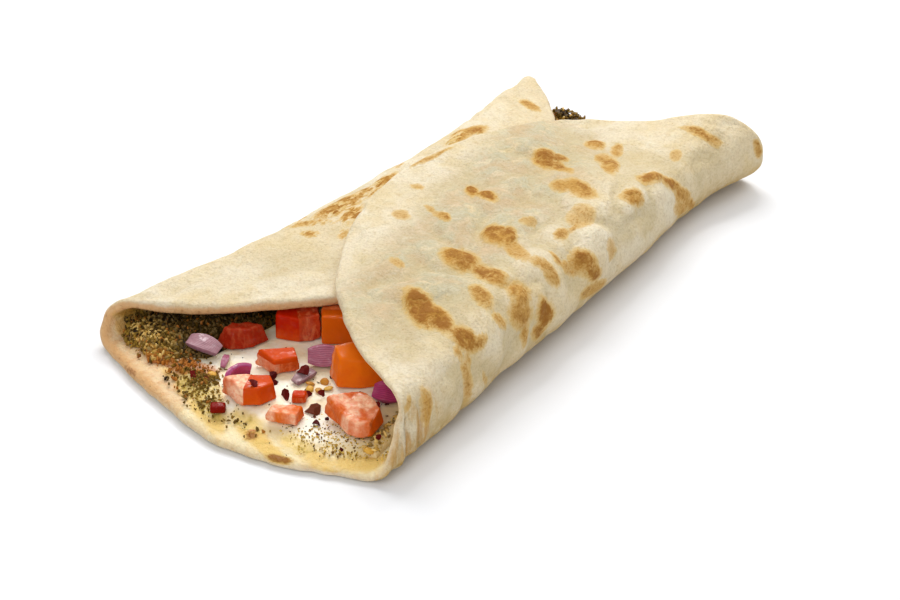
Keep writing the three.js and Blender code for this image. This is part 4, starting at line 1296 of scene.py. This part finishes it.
# Where chilli flakes lie: x, y, height over the spread, half width, turns
FLAKES = [
    (9.0, -107.4, 0.6, 2.4, (0.4, -0.5, 0.9)), (22.4, -107.2, 0.6, 2.8, (0.3, 0.3, 0.4)),
    (28.2, -112.0, 0.5, 1.6, (0.2, 0.3, 1.2)), (0.8, -103.8, 0.6, 1.5, (0.4, 0.2, 0.2)),
    (3.2, -116.4, 8.4, 1.7, (0.1, 0.1, 0.6)), (42.6, -98.0, 6.8, 1.7, (0.2, 0.1, 0.8)),
    (6.0, -94.2, 3.4, 2.3, (0.3, 0.2, 0.4)), (-1.8, -101.6, 1.4, 1.9, (0.4, 0.5, 0.2)),
    (18.6, -98.8, 1.6, 1.6, (0.7, 0.2, 0.9)), (-24.7, -117.6, 0.6, 1.9, (0.2, 0.2, 0.3)),
    (-20.0, -117.0, 0.5, 1.3, (0.3, 0.2, 1.3)), (40.2, -101.6, 6.4, 1.1, (0.3, 0.2, 0.1)),
    (51.0, -106.0, 1.2, 1.3, (0.3, 0.2, 0.1)), (14.5, -101.0, 0.6, 1.4, (0.5, 0.6, 0.2)),
    (-10.0, 112.0, 0.6, 1.9, (0.3, 0.2, 0.5)), (12.0, 112.5, 0.5, 1.5, (0.4, 0.3, 1.1)),
    (24.0, 107.0, 0.6, 1.7, (0.2, 0.4, 0.2)), (-4.0, 107.5, 0.5, 1.3, (0.5, 0.1, 0.8)),
]

SEED_SIZE = 1.75

# Where chilli seeds lie: x, y, height over the spread, turn
SEEDS = [
    (-8.8, -108.6, 0.5, 0.4), (-6.2, -105.4, 0.7, 1.3), (17.2, -93.8, 0.5, 0.9), (12.6, -98.4, 0.5, 2.1),
    (13.4, -91.6, 0.5, 0.1), (-20.4, -113.0, 0.5, 0.6), (24.0, -82.5, 13.5, 0.5), (44.3, -106.4, 4.4, 0.8),
    (-11.6, -106.2, 0.5, 2.6), (-12.6, -109.4, 0.5, 1.7), (10.2, -95.6, 0.5, 1.1), (16.0, -97.2, 0.6, 2.8),
    (-15.2, -104.6, 0.5, 0.2), (47.4, -104.2, 1.0, 1.0), (52.0, -112.0, 0.8, 0.4),
    (-1.0, 112.0, 0.5, 0.7), (16.0, 108.0, 0.5, 1.9), (-14.0, 109.0, 0.6, 2.6),
]


def make_flakes():
    rng = np.random.default_rng(53)
    forms = [template(chip(k)) for k in range(5)]
    x, y, lift, sizes = (np.array([row[k] for row in FLAKES]) for k in range(4))
    fine = rng.uniform(-14, 44, FINE_FLAKES), rng.uniform(-120, -84, FINE_FLAKES), np.full(FINE_FLAKES, 0.3)
    x, y, lift = joined((x, y, lift), fine)
    turns = [row[4] for row in FLAKES] + list(flat_turns(rng, FINE_FLAKES, 0.4))
    sizes = np.concatenate([sizes, rng.uniform(0.4, 0.9, FINE_FLAKES)])
    finish = grain_finish("chilli_flakes", tone(62, 6, 8), tone(116, 22, 16), tone(98, 50, 26), 0.55)
    scatter("chilli_flakes", forms, on_spread(x, y, lift), turns, sizes, finish,
            rng.uniform(0, 1, len(x)), (rng.uniform(0, 1, len(x)) < 0.25) * 0.8)


def make_seeds():
    rng = np.random.default_rng(59)
    forms = [template(bead(2, (1.0, 0.84, 0.34), 0.05, 90 + k)) for k in range(3)]
    x, y, lift, spin = (np.array([row[k] for row in SEEDS]) for k in range(4))
    turns = [(rng.normal(0, 0.25), rng.normal(0, 0.25), turn) for turn in spin]
    sizes = np.full(len(x), SEED_SIZE)
    colours = tone(208, 150, 46), tone(232, 192, 96), tone(178, 104, 32)
    finish = grain_finish("chilli_seeds", *colours, 0.4, 0.2)
    scatter("chilli_seeds", forms, on_spread(x, y, lift), turns, sizes, finish,
            rng.uniform(0, 1, len(x)), (rng.uniform(0, 1, len(x)) < 0.2) * 0.6, smooth_shade=True)


# Studio

def make_floor():
    bm = bmesh.new()
    bmesh.ops.create_grid(bm, x_segments=1, y_segments=1, size=4)
    mesh = bpy.data.meshes.new("floor")
    bm.to_mesh(mesh)
    bm.free()
    finish = Finish("floor_white")
    mesh.materials.append(finish.surface(Base_Color=FLOOR_COLOUR, Roughness=1.0, Specular_IOR_Level=0.0))
    floor = bpy.data.objects.new("floor", mesh)
    floor.location.z = -FLOOR_GAP
    bpy.context.scene.collection.objects.link(floor)


def aimed(thing, name, place, aim):
    """A camera or lamp in the scene, turned to look at a point."""
    made = bpy.data.objects.new(name, thing)
    made.location = place
    made.rotation_euler = (Vector(aim) - made.location).to_track_quat("-Z", "Y").to_euler()
    bpy.context.scene.collection.objects.link(made)
    return made


def make_studio():
    make_floor()
    for name, direction, distance, size, power in LIGHTS:
        data = bpy.data.lights.new(name, "AREA")
        data.shape = "DISK"
        data.size = size
        data.energy = power
        aimed(data, name, Vector(direction).normalized() * distance, (0, 0, 0))
    world = bpy.data.worlds.new("studio")
    world.use_nodes = True
    background = world.node_tree.nodes["Background"]
    background.inputs["Color"].default_value = (1, 1, 1, 1)
    background.inputs["Strength"].default_value = SKY_STRENGTH
    bpy.context.scene.world = world
    bpy.context.scene.view_settings.view_transform = "Standard"


def make_camera():
    data = bpy.data.cameras.new("camera")
    data.sensor_width = SENSOR_WIDTH
    data.lens = LENS
    data.clip_start = 0.05
    bpy.context.scene.camera = aimed(data, "camera", CAMERA_PLACE, CAMERA_AIM)


make_camera()
make_studio()
make_bread()
make_cheese()
herb_bed = herb_bed_finish()
make_heap(herb_bed)
make_patch(herb_bed)
make_herb_bits()
make_sesame()
make_specks()
make_tomatoes()
make_onions()
make_flakes()
make_seeds()
